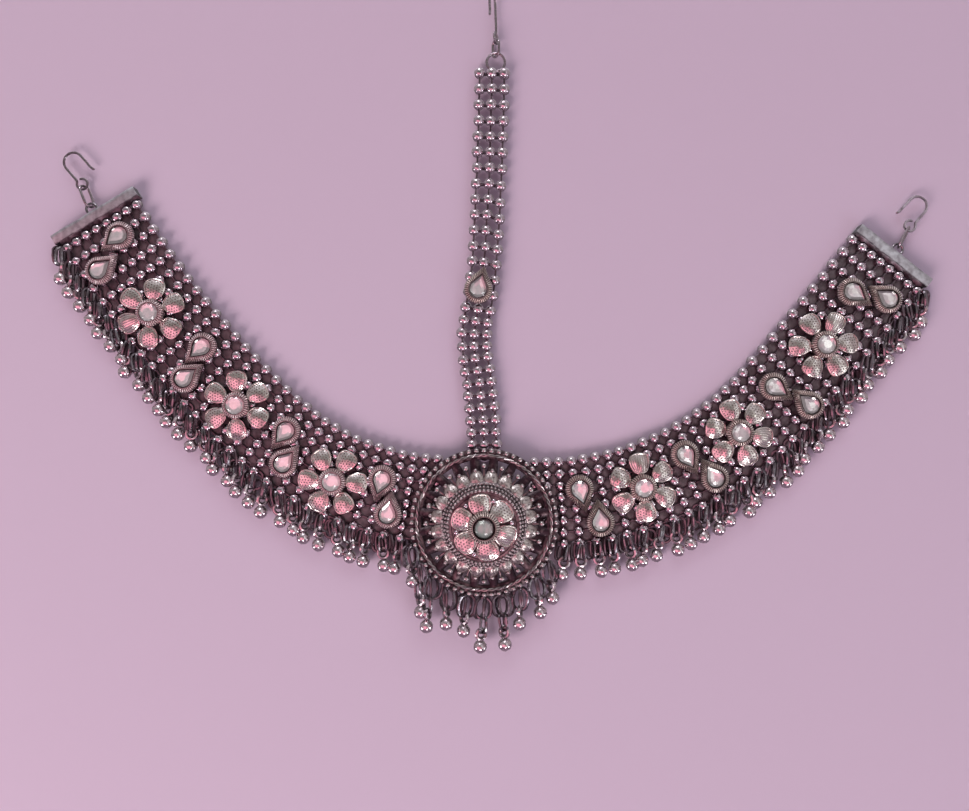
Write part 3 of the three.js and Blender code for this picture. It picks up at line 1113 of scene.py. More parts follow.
@dataclass
class Fringe:
    """Drops in jump rings along an edge, with blackened rings close behind.

    Heads give x, z and the number of rings in a row; rings give their half width, half height
    and how many hang side by side. Twists, turns, swing and lean are in degrees.
    """

    drops: Drops
    node: str
    heads: list[tuple[float, float, int]]
    depth: float
    rings: tuple[tuple[float, float, int], ...]
    ring_top: float
    twist: tuple[float, float]
    swing: float
    dark_rings: int
    dark_step: float
    eyelets: bool = False
    eyelet_rise: float = 0.5
    lean: float = 9.0
    pair_turn: tuple[float, float] = (35.0, 60.0)
    pair_shift: float = 0.4
    next_turn: tuple[float, float] = (65.0, 100.0)
    dark_depth: float = 0.6
    dark_turn: float = 70.0

    def build(self) -> None:
        """Builds the eyelets, the jump rings and the drops."""
        drops = self.drops
        luck = random.Random(self.node)
        fringe = Assembly(f"{self.node}_drops", self.node, "drops")
        if self.eyelets:
            eyelet = drops.model_ring(drops.eyelet_radius, drops.eyelet_radius, drops.eyelet_wire)
            across = self.twisted(self.eyelet_rise, 90)
            spots = [facing(x, self.depth, z) @ across for x, z, _ in self.heads]
            fringe.add(eyelet, spots, Finish.RINGS)
        ring_places: list[list[Matrix]] = [[] for _ in self.rings]
        drop_places = []
        dark_places = []
        for x, z, count in self.heads:
            hung = facing(x, self.depth, z, luck.uniform(-self.swing, self.swing))
            twist = luck.choice((-1, 1)) * luck.uniform(*self.twist)
            dark_places += [hung @ place for place in self.dark_ring_places(luck)]
            top = self.ring_top
            for places, (_, half_height, number) in zip(ring_places[:count], self.rings):
                middle = top - half_height
                for i in range(number):
                    turn = twist + i * math.copysign(luck.uniform(*self.pair_turn), twist)
                    shift = self.pair_shift * (2 * i - number + 1)
                    lean = luck.uniform(-self.lean, self.lean)
                    places.append(hung @ self.twisted(middle, turn, shift, lean))
                bottom = top - 2 * half_height
                top = bottom + 2 * drops.ring_wire
                twist -= math.copysign(luck.uniform(*self.next_turn), twist)
            hole = bottom + drops.ring_wire + drops.eye_wire - drops.eye_radius
            drop_places.append(hung @ self.twisted(hole, twist))
        for (half_width, half_height, _), places in zip(self.rings, ring_places):
            ring = drops.model_ring(half_width, half_height, drops.ring_wire)
            fringe.add(ring, places, Finish.RINGS)
        dark_ring = drops.model_ring(*self.rings[0][:2], drops.ring_wire)
        fringe.add(dark_ring, dark_places, Finish.LINKS)
        fringe.add(drops.model_drop(), drop_places, Finish.DROPS)
        fringe.build()

    def dark_ring_places(self, luck: random.Random) -> list[Matrix]:
        """Gives the places of the blackened rings behind a head.

        Args:
            luck: Source of their turns.

        Returns:
            A matrix for each ring, in the head's frame.
        """
        behind = Matrix.Translation((0, 0, -self.dark_depth))
        middle = self.ring_top - self.rings[0][1]
        places = []
        for i in range(self.dark_rings):
            shift = self.dark_step * (i - (self.dark_rings - 1) / 2)
            turn = luck.uniform(-self.dark_turn, self.dark_turn)
            lean = luck.uniform(-self.lean, self.lean)
            places.append(behind @ self.twisted(middle, turn, shift, lean))
        return places

    @staticmethod
    def twisted(height: float, twist: float, shift: float = 0.0, lean: float = 0.0) -> Matrix:
        """Gives a place below a head.

        Args:
            height: Height over the head.
            twist: Degrees about the upright.
            shift: Distance beside the head.
            lean: Degrees out of the upright.

        Returns:
            Matrix in the head's frame.
        """
        leaning = Matrix.Rotation(math.radians(lean), 4, "Z")
        turns = leaning @ Matrix.Rotation(math.radians(twist), 4, "Y")
        return Matrix.Translation((shift, height, 0)) @ turns


def band_fringe(drops: Drops, side: Side) -> Fringe:
    """Plans the fringe along the lower edge of a band.

    Args:
        drops: Maker of the drops.
        side: Which band.

    Returns:
        The fringe, ready to build.
    """
    first_column, share_of_column, in_front = 2, 0.4, 0.5
    head = LIMBS[side].outset(BAND_ACROSS + BALL / 2 + GAP + EDGE_WIRE_RADIUS)
    shares = [(i + share_of_column) / BAND_COLUMNS for i in range(first_column, BAND_COLUMNS)]
    return Fringe(
        drops=drops,
        node=f"fringe_{side.value}",
        heads=[(*head.at(share * head.total)[:2], 1) for share in shares],
        depth=MESH_PLANE - in_front,
        rings=((1.55, 2.65, 2),),
        ring_top=2.5,
        twist=(20.0, 80.0),
        swing=10.0,
        dark_rings=4,
        dark_step=1.15,
    )


def pendant_fringe(drops: Drops) -> Fringe:
    """Plans the fringe under the pendant's rim.

    Args:
        drops: Maker of the drops.

    Returns:
        The fringe, ready to build.
    """
    radius, count, start, end = 22.8, 10, 192, 334
    long_drops = (1, 2, 5, 6)
    x, z = PENDANT_PLACE
    turns = [math.radians(start + (end - start) * (i + 0.5) / count) for i in range(count)]
    return Fringe(
        drops=drops,
        node="fringe_pendant",
        heads=[
            (x + radius * math.cos(a), z + radius * math.sin(a), 2 if i in long_drops else 1)
            for i, a in enumerate(turns)
        ],
        depth=SEAT_PLANE - GAP - EDGE_WIRE_RADIUS,
        rings=((2.35, 3.2, 1), (1.3, 2.5, 2)),
        ring_top=0.5,
        twist=(4.0, 38.0),
        swing=7.0,
        dark_rings=2,
        dark_step=2.0,
        eyelets=True,
    )


class PetalKind(Enum):
    """How a petal's face is stamped."""

    DOTTED = "dotted"
    RIBBED = "ribbed"


@dataclass
class Setter:
    """Models petals, milled bezels and cut stones."""

    bench: StockedBench
    dot_cells: int = 15
    rib_cells: int = 17
    pit_edge: float = 0.015
    pit_depth: float = 0.16
    pit_full: float = 0.7
    pit_clean: float = 0.3
    pit_tarnish: float = 0.6
    face_tarnish: float = 0.14
    waver: float = 0.1
    waver_along: tuple[float, float] = (4.1, 1.7)
    waver_across: tuple[float, float] = (3.7, 0.8)
    groove_edge: float = 0.6
    groove_depth: float = 0.1
    rim_width: float = 0.08
    rim_height: float = 0.26
    rim_from: float = 0.3
    petal_crown: float = 1.25
    petal_sag: float = 0.66
    petal_tilt: float = 0.15
    petal_flare: float = 0.22
    petal_sheet: float = 0.5
    mill_depth: float = 0.36
    mill_taper: float = 0.02
    mill_tarnish: float = 0.9
    foot_clean: float = 0.2
    foot_fade: float = 0.6
    # Painted shade on the collar round the stone, for the dark ring of shade there
    lip_painted_shade: float = 0.8
    lip_above: float = 0.05

    def model_petal(self, kind: PetalKind, half_length: float, half_width: float) -> Shape:
        """Models a domed petal with a raised rim.

        Args:
            kind: How its face is stamped.
            half_length: Half its length, along +X.
            half_width: Half its width.

        Returns:
            The petal about its middle, with its seat at height 0.
        """
        is_ribbed = kind is PetalKind.RIBBED
        cells = self.rib_cells if is_ribbed else self.dot_cells
        waver = 0.0 if is_ribbed else self.waver
        settings = {"x_subdivisions": cells, "y_subdivisions": cells, "size": 2}
        self.bench.lay(bpy.ops.mesh.primitive_grid_add, **settings)
        self.bench.pick_faces(lambda middle: self.is_stamped(kind, cells, middle))
        if is_ribbed:
            bpy.ops.mesh.inset(thickness=self.groove_edge / cells, depth=-self.groove_depth)
        else:
            bpy.ops.mesh.inset(thickness=self.pit_edge, depth=-self.pit_depth, use_individual=True)
        bpy.ops.mesh.select_all(action="SELECT")
        bpy.ops.mesh.inset(thickness=self.rim_width, depth=0.0, use_boundary=True)
        bpy.ops.mesh.select_all(action="INVERT")
        rise = (0, 0, self.rim_height)
        bpy.ops.mesh.extrude_region_move(TRANSFORM_OT_translate={"value": rise})

        def domed(p: np.ndarray) -> np.ndarray:
            """Rounds the square sheet to an egg and domes it.

            Args:
                p: Points of the sheet.

            Returns:
                Points of the petal.
            """
            u = p[:, 0] * np.sqrt(1 - p[:, 1] ** 2 / 2)
            v = p[:, 1] * np.sqrt(1 - p[:, 0] ** 2 / 2)
            width = half_width * v * (1 + self.petal_flare * u)
            inside = 1 - np.maximum(np.abs(p[:, 0]), np.abs(p[:, 1])) ** 4
            pace, lag = self.waver_along
            x = half_length * u + waver * inside * np.sin(pace * width + lag * u)
            pace, lag = self.waver_across
            y = width + waver * inside * np.sin(pace * half_length * u + lag)
            return np.c_[x, y, self.dome(u, v) + p[:, 2]]

        def pitted(p: np.ndarray) -> np.ndarray:
            """Leaves a little tarnish on the face, more in its stamps and none on the rim.

            Args:
                p: Points of the petal.

            Returns:
                Tarnish of each point.
            """
            u = p[:, 0] / half_length
            v = p[:, 1] / half_width / (1 + self.petal_flare * u)
            depth = self.dome(u, v) - p[:, 2]
            pit = depth / (self.pit_full * self.pit_depth) - self.pit_clean
            stamp = self.pit_tarnish * np.clip(pit, 0, 1)
            return np.where(depth < -self.rim_from * self.rim_height, 0, self.face_tarnish + stamp)

        self.bench.press(domed)
        self.bench.modify("SOLIDIFY", thickness=self.petal_sheet, offset=-1.0)
        self.bench.turn_out()
        return self.bench.take(pitted)

    @staticmethod
    def is_stamped(kind: PetalKind, cells: int, middle: Vector) -> bool:
        """Tells whether a cell of a petal's face gets a stamp.

        Args:
            kind: How the face is stamped.
            cells: Number of cells along each side.
            middle: Middle of the cell, on a sheet from -1 to 1.

        Returns:
            Whether it does: in rows on a ribbed face, and staggered on a dotted one.
        """
        along, across = (round((place + 1) * cells / 2 - 0.5) for place in middle.xy)
        if min(along, across) < 1 or max(along, across) > cells - 2:
            return False
        if kind is PetalKind.RIBBED:
            return across % 2 == 1
        return across % 2 == 1 and along % 2 == (across // 2) % 2

    def dome(self, u: np.ndarray, v: np.ndarray) -> np.ndarray:
        """Gives the height of a petal's face at shares of its half length and half width."""
        return self.petal_crown - self.petal_sag * (u**2 + v**2) - self.petal_tilt * u

    def model_bezel(self, outline: np.ndarray, rows: Rows) -> Shape:
        """Models a milled bezel round an outline.

        Args:
            outline: Points of the outline, two for each rib.
            rows: Share of the outline and height of each ring, from the outer foot to the seat;
                the second to fourth rings are milled.

        Returns:
            The bezel.
        """
        self.bench.lay_outline(outline)
        self.bench.draw_up(rows)
        self.bench.bridge()
        ways = np.arctan2(outline[:, 1], outline[:, 0])
        near = self.bench.NEAR
        low, high = rows[1][1], rows[3][1]

        def grooved(p: np.ndarray, cut: float) -> np.ndarray:
            """Tells which points lie in a groove.

            Args:
                p: Points of the bezel.
                cut: How deep the grooves are cut already.

            Returns:
                Whether each point does.
            """
            way = np.arctan2(p[:, 1], p[:, 0])[:, None]
            off = np.abs((way - ways + np.pi) % (2 * np.pi) - np.pi)
            level = (p[:, 2] > low - cut - near) & (p[:, 2] < high - cut + near)
            return (off.argmin(axis=1) % 2 == 1) & level

        def mill(p: np.ndarray) -> np.ndarray:
            """Cuts a groove at every other point of the milled rings."""
            cut = np.c_[self.mill_taper * p[:, :2], np.full(len(p), self.mill_depth)]
            return p - cut * grooved(p, 0)[:, None]

        def shelter(p: np.ndarray) -> np.ndarray:
            """Leaves the tarnish in the grooves and at the foot, and paints shade on the collar
            round the stone.

            Args:
                p: Points of the milled bezel.

            Returns:
                Tarnish and painted shade of each point.
            """
            grooves = self.mill_tarnish * grooved(p, self.mill_depth)
            foot = self.mill_tarnish * (low - self.foot_clean - p[:, 2]) / self.foot_fade
            # Painted shade on the collar round the stone
            lip = self.lip_painted_shade * (p[:, 2] > high + self.lip_above)
            return np.maximum.reduce((grooves, foot, lip))

        self.bench.press(mill)
        return self.bench.take(shelter)

    def model_stone(self, outline: np.ndarray, rows: Rows, twist: float = 0.0) -> Shape:
        """Models a cut stone: facets that rise from the girdle to a table.

        Args:
            outline: Points of the girdle's outline.
            rows: Share of the outline and height of each ring, from the girdle to the table.
            twist: Degrees between one ring of facets and the next.

        Returns:
            The stone.
        """
        self.bench.lay_outline(outline)
        self.bench.draw_up(rows, twist)
        self.bench.close()
        if twist:
            bpy.ops.mesh.quads_convert_to_tris()
        return self.bench.take()


@dataclass
class LeafMaker(Setter):
    """Models the pendant's leaves, which are small petals with a few coarse ribs."""

    rib_cells: int = 5
    pit_tarnish: float = 0.5
    face_tarnish: float = 0.0
    rim_height: float = 0.12
    petal_sag: float = 0.85
    petal_flare: float = -0.15


@dataclass
class FlowerWork:
    """Flowers of six stamped petals about a round stone in a milled bezel."""

    setter: Setter
    petal_centre: float = 7.1
    half_length: float = 3.2
    half_width: float = 2.92
    petals: int = 6
    petal_sway: float = 10.0
    petal_droop: float = 0.0
    bezel_radius: float = 4.05
    ribs: int = 34
    bezel_rows: Rows = (
        (0.98, 0.2), (1.0, 1.85), (0.95, 2.45), (0.76, 2.7), (0.74, 2.95),
        (0.69, 2.95), (0.67, 2.2), (0.6, 0.2),
    )
    stone_radius: float = 2.7
    stone_facets: int = 12
    stone_twist: float = 15.0
    stone_rows: Rows = ((1.0, 2.2), (1.0, 2.6), (0.76, 3.05), (0.46, 3.35))
    stone_finish: Finish = Finish.STONES
    stone_smooth: float = FACET_SMOOTH
    petal_shapes: dict[PetalKind, Shape] = field(init=False)
    bezel: Shape = field(init=False)
    stone: Shape = field(init=False)

    def __post_init__(self) -> None:
        """Models the petals, the bezel and the stone."""
        sizes = (self.half_length, self.half_width)
        self.petal_shapes = {kind: self.setter.model_petal(kind, *sizes) for kind in PetalKind}
        rim = circle(self.bezel_radius, 2 * self.ribs)
        self.bezel = self.setter.model_bezel(rim, self.bezel_rows)
        girdle = circle(self.stone_radius, self.stone_facets)
        self.stone = self.setter.model_stone(girdle, self.stone_rows, self.stone_twist)

    def build(self, name: str, seat: Matrix, ribbed: Iterable[int]) -> None:
        """Builds a flower.

        Args:
            name: Name of its CAD node.
            seat: Place of its middle.
            ribbed: Numbers of the petals that are ribbed.
        """
        luck = random.Random(name)
        setting = Assembly(f"{name}_setting", name, "setting")
        spots: dict[PetalKind, list[Matrix]] = {kind: [] for kind in PetalKind}
        for number, spot in enumerate(around(self.petals, self.petal_centre, 0.0)):
            kind = PetalKind.RIBBED if number in ribbed else PetalKind.DOTTED
            spots[kind].append(seat @ spot @ self.sway(luck))
        for kind, places in spots.items():
            if places:
                setting.add(self.petal_shapes[kind], places, Finish.PETALS)
        setting.add(self.bezel, [seat], bezel_finish(seat))
        self.decorate(setting, seat)
        setting.build()
        stone = Assembly(f"{name}_stone", name, "stone", smooth=self.stone_smooth)
        stone.add(self.stone, [seat], self.stone_finish).build()

    def sway(self, luck: random.Random) -> Matrix:
        """Gives a petal's droop with a small tilt, as no two petals of a flower lie alike.

        Args:
            luck: Source of the tilt.

        Returns:
            Matrix in the petal's frame.
        """
        across, along = (luck.uniform(-self.petal_sway, self.petal_sway) for _ in range(2))
        tilt = Matrix.Rotation(math.radians(across), 4, "X")
        return tilt @ Matrix.Rotation(math.radians(along + self.petal_droop), 4, "Y")

    def decorate(self, setting: Assembly, seat: Matrix) -> None:
        """Adds nothing more to a plain flower."""


@dataclass
class PendantFlower(FlowerWork):
    """The pendant's flower, with a small ball between petals and a smooth cabochon."""

    petal_centre: float = 6.4
    half_width: float = 3.15
    petal_droop: float = 9.0
    bezel_radius: float = 4.6
    ribs: int = 38
    bezel_rows: Rows = (
        (0.98, 0.2), (1.0, 2.0), (0.95, 2.6), (0.77, 2.95), (0.75, 3.15),
        (0.7, 3.15), (0.66, 1.9), (0.5, 0.2),
    )
    stone_radius: float = 2.8
    stone_facets: int = 24
    stone_twist: float = 0.0
    stone_rows: Rows = (
        (1.0, 2.6), (0.99, 2.9), (0.93, 3.3), (0.8, 3.7), (0.58, 4.0), (0.3, 4.17),
        (0.08, 4.2),
    )
    stone_finish: Finish = Finish.CABOCHON
    stone_smooth: float = 60.0
    ball_circle: float = 8.0
    ball_radius: float = 0.75

    def decorate(self, setting: Assembly, seat: Matrix) -> None:
        """Adds the small balls between the petals.

        Args:
            setting: The flower's setting.
            seat: Place of its middle.
        """
        scale = Matrix.Scale(self.ball_radius, 4)
        spots = around(self.petals, self.ball_circle, self.ball_radius, 0.5)
        setting.add(self.setter.bench.ball, [seat @ spot @ scale for spot in spots], Finish.BALLS)


@dataclass
class PearWork:
    """Pear stones in milled bezels."""

    setter: Setter
    radius: float = 4.25
    reach: float = 1.72
    ribs: int = 42
    facets: int = 16
    bezel_rows: Rows = (
        (0.97, 0.0), (1.0, 0.95), (0.95, 1.45), (0.74, 1.75), (0.71, 2.0),
        (0.66, 2.0), (0.63, 1.3), (0.56, 0.0),
    )
    stone_rows: Rows = ((0.58, 1.2), (0.58, 1.6), (0.42, 2.3), (0.2, 2.6))
    bezel: Shape = field(init=False)
    stone: Shape = field(init=False)

    def __post_init__(self) -> None:
        """Models the bezel and the stone."""
        rim = pear(self.radius, self.reach, 2 * self.ribs)
        self.bezel = self.setter.model_bezel(rim, self.bezel_rows)
        girdle = pear(self.radius, self.reach, self.facets)
        self.stone = self.setter.model_stone(girdle, self.stone_rows)

    def build(self, name: str, seat: Matrix) -> None:
        """Builds a setting with its stone.

        Args:
            name: Name of its CAD node.
            seat: Place of the middle of its round end.
        """
        setting = Assembly(f"{name}_setting", name, "setting")
        setting.add(self.bezel, [seat], bezel_finish(seat)).build()
        stone = Assembly(f"{name}_stone", name, "stone", smooth=FACET_SMOOTH)
        stone.add(self.stone, [seat], Finish.STONES).build()


@dataclass
class PendantFrame:
    """Granulated rim, pierced gallery of stalks, a crown of leaves and a stepped dome."""

    bench: StockedBench
    leaf_maker: LeafMaker
    rim_inner: float = 18.6
    rim_outer: float = 22.0
    rim_height: float = 1.0
    rim_bevel: tuple[float, float] = (0.3, 0.2)
    rim_sides: int = 96
    rim_tarnish: float = 0.9
    rope_circle: float = 19.95
    rope_height: float = 1.6
    rope_turns: int = 30
    rope_steps: int = 10
    rope_strand: float = 0.26
    rope_wind: tuple[float, float] = (1.1, 0.9)
    rope_tarnish: float = 0.6
    rope_fade: float = 0.8
    rope_foot: float = 1.3
    leaves: int = 20
    leaf_size: tuple[float, float] = (2.25, 2.0)
    leaf_circle: float = 13.5
    leaf_height: float = 4.9
    leaf_slope: float = 16.0
    stem_ends: tuple[float, float] = (11.6, 19.2)
    stem_radii: tuple[float, float] = (1.8, 1.2)
    stem_sides: int = 8
    stem_belly: float = 1.1
    stem_flatness: float = 0.4
    stem_height: float = 0.8
    stalk_line: tuple[Triple, ...] = ((12.5, 0, 3.9), (14.8, 0, 4.0), (16.9, 0, 3.6))
    stalk_wire: float = 0.3
    stalk_tarnish: float = 0.45
    dome_sides: int = 60
    dome_rows: Rows = (
        (12.8, 0.0), (12.8, 4.2), (13.3, 4.8), (13.2, 5.4), (12.3, 6.3),
        (11.3, 7.0), (11.0, 8.0), (10.8, 9.4), (10.4, 9.9), (9.4, 9.9), (9.2, 9.6),
        (3.0, 9.6),
    )
    dome_foot: float = 4.5
    # Painted shade on the stems and on the foot of the dome, for the dark of the pierced gallery
    gallery_painted_shade: float = 0.95
    dome_tarnish: float = 0.65
    gallery_granules: tuple[Granules, ...] = (
        (21.35, 1.4, 60, 0.78, 0.0),
        (16.9, 3.6, 20, 0.88, 0.0),
        (15.8, 4.7, 20, 0.62, 0.5),
    )
    dome_granules: tuple[Granules, ...] = (
        (12.0, 6.8, 66, 0.45, 0.0),
        (11.2, 8.3, 64, 0.42, 0.0),
        (10.4, 10.0, 56, 0.5, 0.0),
    )

    def build(self) -> None:
        """Builds the frame."""
        seat = facing(PENDANT_PLACE[0], SEAT_PLANE, PENDANT_PLACE[1])
        slope = Matrix.Rotation(math.radians(self.leaf_slope), 4, "Y")
        stems = around(self.leaves, 0, self.stem_height, 0.5)
        leaves = [m @ slope for m in around(self.leaves, self.leaf_circle, self.leaf_height, 0.5)]
        leaf = self.leaf_maker.model_petal(PetalKind.RIBBED, *self.leaf_size)
        alone = [Matrix()]
        layers = (
            (self.model_rim(), alone, Finish.PENDANT),
            (self.model_strand(0.0), alone, Finish.ROPE),
            (self.model_strand(math.pi), alone, Finish.ROPE),
            (self.model_dome(), alone, Finish.PENDANT),
            (self.model_stem(), stems, Finish.PENDANT),
            (leaf, leaves, Finish.LEAVES),
            (self.model_stalk(), around(self.leaves, 0, 0), Finish.PENDANT),
            (self.bench.ball, self.granules(self.gallery_granules), Finish.ROPE),
            (self.bench.ball, self.granules(self.dome_granules), Finish.ROPE),
        )
        work = Assembly("pendant_frame_work", "pendant_frame", "setting")
        for shape, spots, finish in layers:
            work.add(shape, [seat @ spot for spot in spots], finish)
        work.build()

    @staticmethod
    def granules(circles: Sequence[Granules]) -> list[Matrix]:
        """Gives the places and sizes of small balls in circles, on the bench.

        Args:
            circles: Circles of granules.

        Returns:
            A matrix for each ball.
        """
        return [
            spot @ Matrix.Scale(size, 4)
            for radius, height, count, size, shift in circles
            for spot in around(count, radius, height, shift)
        ]

    def model_rim(self) -> Shape:
        """Models the flat ring that carries the granules and the rope.

        Returns:
            The ring.
        """
        self.bench.lay(bpy.ops.mesh.primitive_circle_add, vertices=self.rim_sides, radius=1)
        inner, outer, height = self.rim_inner, self.rim_outer, self.rim_height
        across, down = self.rim_bevel
        bottom = ((inner, 0.0), (outer, 0.0))
        top = ((outer - across, height), (inner + across, height))
        self.bench.draw_up((*bottom, (outer, height - down), *top, (inner, height - down)))
        self.bench.bridge()
        return self.bench.take(self.rim_tarnish)

    def model_strand(self, phase: float) -> Shape:
        """Models one of the rope's two strands.

        Args:
            phase: Angle at which the strand starts round the rope.

        Returns:
            The strand.
        """
        steps = self.rope_turns * self.rope_steps
        turn = 2 * np.pi * np.arange(steps) / steps
        wound = self.rope_turns * turn + phase
        wide, high = self.rope_wind
        radius = self.rope_circle + wide * self.rope_strand * np.cos(wound)
        height = self.rope_height + high * self.rope_strand * np.sin(wound)
        points = np.c_[radius * np.cos(turn), radius * np.sin(turn), height]
        self.bench.lay_wire(points, self.rope_strand, closed=True)
        return self.bench.take(
            lambda p: self.rope_tarnish - self.rope_fade * (p[:, 2] - self.rope_foot)
        )

    def model_dome(self) -> Shape:
        """Models the stepped dome.

        Returns:
            The dome.
        """
        self.bench.lay(bpy.ops.mesh.primitive_circle_add, vertices=self.dome_sides, radius=1)
        self.bench.draw_up(self.dome_rows)
        self.bench.close()
        # Below its foot the dome is painted dark: painted shade under the leaves
        return self.bench.take(
            lambda p: np.where(p[:, 2] < self.dome_foot, self.gallery_painted_shade, self.dome_tarnish)
        )

    def model_stem(self) -> Shape:
        """Models a flat tapering stem that carries the rim.

        Returns:
            The stem.
        """
        inner, outer = self.stem_ends
        wide, narrow = self.stem_radii
        settings = {"vertices": self.stem_sides, "radius1": wide, "radius2": narrow}
        self.bench.lay(bpy.ops.mesh.primitive_cone_add, depth=outer - inner, **settings)
        self.bench.halve(self.stem_belly)
        middle = (inner + outer) / 2
        self.bench.press(
            lambda p: np.c_[p[:, 2] + middle, p[:, 1], -self.stem_flatness * p[:, 0]]
        )
        # The stem is painted dark: painted shade in the gallery
        return self.bench.take(self.gallery_painted_shade)

    def model_stalk(self) -> Shape:
        """Models the wire of a stalk."""
        self.bench.lay_wire(np.array(self.stalk_line), self.stalk_wire)
        return self.bench.take(self.stalk_tarnish)


@dataclass
class EndBar:
    """A folded plate that grips the end of a band, with its soldered eye."""

    bench: StockedBench
    side: Side
    length: float
    width: float = 3.2
    depth: float = 3.8
    sheet: float = 0.55
    cuts: int = 5
    hollow: float = 0.7
    taper: float = 0.86
    fold: float = 0.22
    smooth: float = 35.0
    plate_tarnish: float = 0.25
    # Oxide in the hollow, and painted shade along its edge next to the balls
    hollow_oxide_and_shade: float = 0.75
    shade_edge_width: float = 0.3
    # Height, pace and start of the waves in which it is out of true
    depth_dent: tuple[float, float, float] = (0.09, 0.9, 0.6)
    width_dent: tuple[float, float, float] = (0.07, 0.55, 2.0)

    def place(self) -> tuple[float, float, float]:
        """Finds the place of the bar.

        Returns:
            The bar's x and z and its outward turn in radians.
        """
        limb = LIMBS[self.side]
        middle = limb.outset(BAND_ACROSS / 2)
        x, z, angle = middle.at(middle.total)
        out_x, out_z = limb.side * math.cos(angle), math.sin(angle)
        reach = GAP + self.width / 2
        return x + out_x * reach, z + out_z * reach, math.atan2(out_z, out_x)

    def eye_place(self) -> tuple[float, float]:
        """Finds the place of the eye.

        Returns:
            The x and z of its middle.
        """
        x, z, turn = self.place()
        reach = self.eye_reach()
        return x + reach * math.cos(turn), z + reach * math.sin(turn)

    def eye_reach(self) -> float:
        """Gives the distance of the eye's middle from the bar's."""
        return self.width / 2 + EYE_RADIUS - WIRE / 2

    def build(self) -> None:
        """Builds the bar."""
        x, z, turn = self.place()
        seat = facing(x, MESH_PLANE, z, math.degrees(turn))
        name = f"end_bar_{self.side.value}"
        eye = self.bench.model_oblong(EYE_RADIUS, EYE_RADIUS)
        eye_seat = seat @ Matrix.Translation((self.eye_reach(), 0, 0))
        bar = Assembly(f"{name}_plate", name, "end_bar", smooth=self.smooth)
        bar.add(self.model_plate(), [seat], Finish.BARS)
        bar.add(eye, [eye_seat], Finish.RINGS).build()

    def model_plate(self) -> Shape:
        """Models the plate: a block with its inner side hollowed and its folds rounded.

        Returns:
            The plate.
        """
        bench = self.bench
        bench.lay(bpy.ops.mesh.primitive_cube_add, size=1)
        bench.resize((self.width, self.length, self.depth))
        inner = -self.width / 2
        bpy.ops.mesh.subdivide(number_cuts=self.cuts)
        bench.pick_faces(lambda p: p.x < inner + bench.NEAR)
        bpy.ops.mesh.inset(thickness=self.sheet, depth=-self.hollow * self.width)
        bench.pick_points(lambda p: p.x > self.width / 2 - bench.NEAR)
        bench.resize((1, 1, self.taper))
        bench.press(self.dent)
        bench.modify("BEVEL", width=self.fold, segments=2, limit_method="ANGLE")

        def oxide_and_edge_shade(p: np.ndarray) -> np.ndarray:
            """Leaves oxide in the hollow, and paints shade along its edge next to the balls.

            Args:
                p: Points of the plate.

            Returns:
                Oxide and painted shade of each point.
            """
            within = np.abs(p[:, 2]) < self.depth / 2 - self.sheet
            # Painted shade along the hollow's edge, next to the balls
            edge = p[:, 0] < inner + self.shade_edge_width
            return self.plate_tarnish + self.hollow_oxide_and_shade * (within | edge)

        return bench.take(oxide_and_edge_shade)

    def dent(self, p: np.ndarray) -> np.ndarray:
        """Works the plate a little out of true, as pressed by hand.

        Args:
            p: Points of the plate.

        Returns:
            The points, moved in waves.
        """
        worked = p.copy()
        height, pace, start = self.depth_dent
        worked[:, 2] += height * np.sin(pace * p[:, 1] + start) * np.sign(p[:, 2])
        height, pace, start = self.width_dent
        worked[:, 0] += height * np.sin(pace * p[:, 1] + start)
        return worked


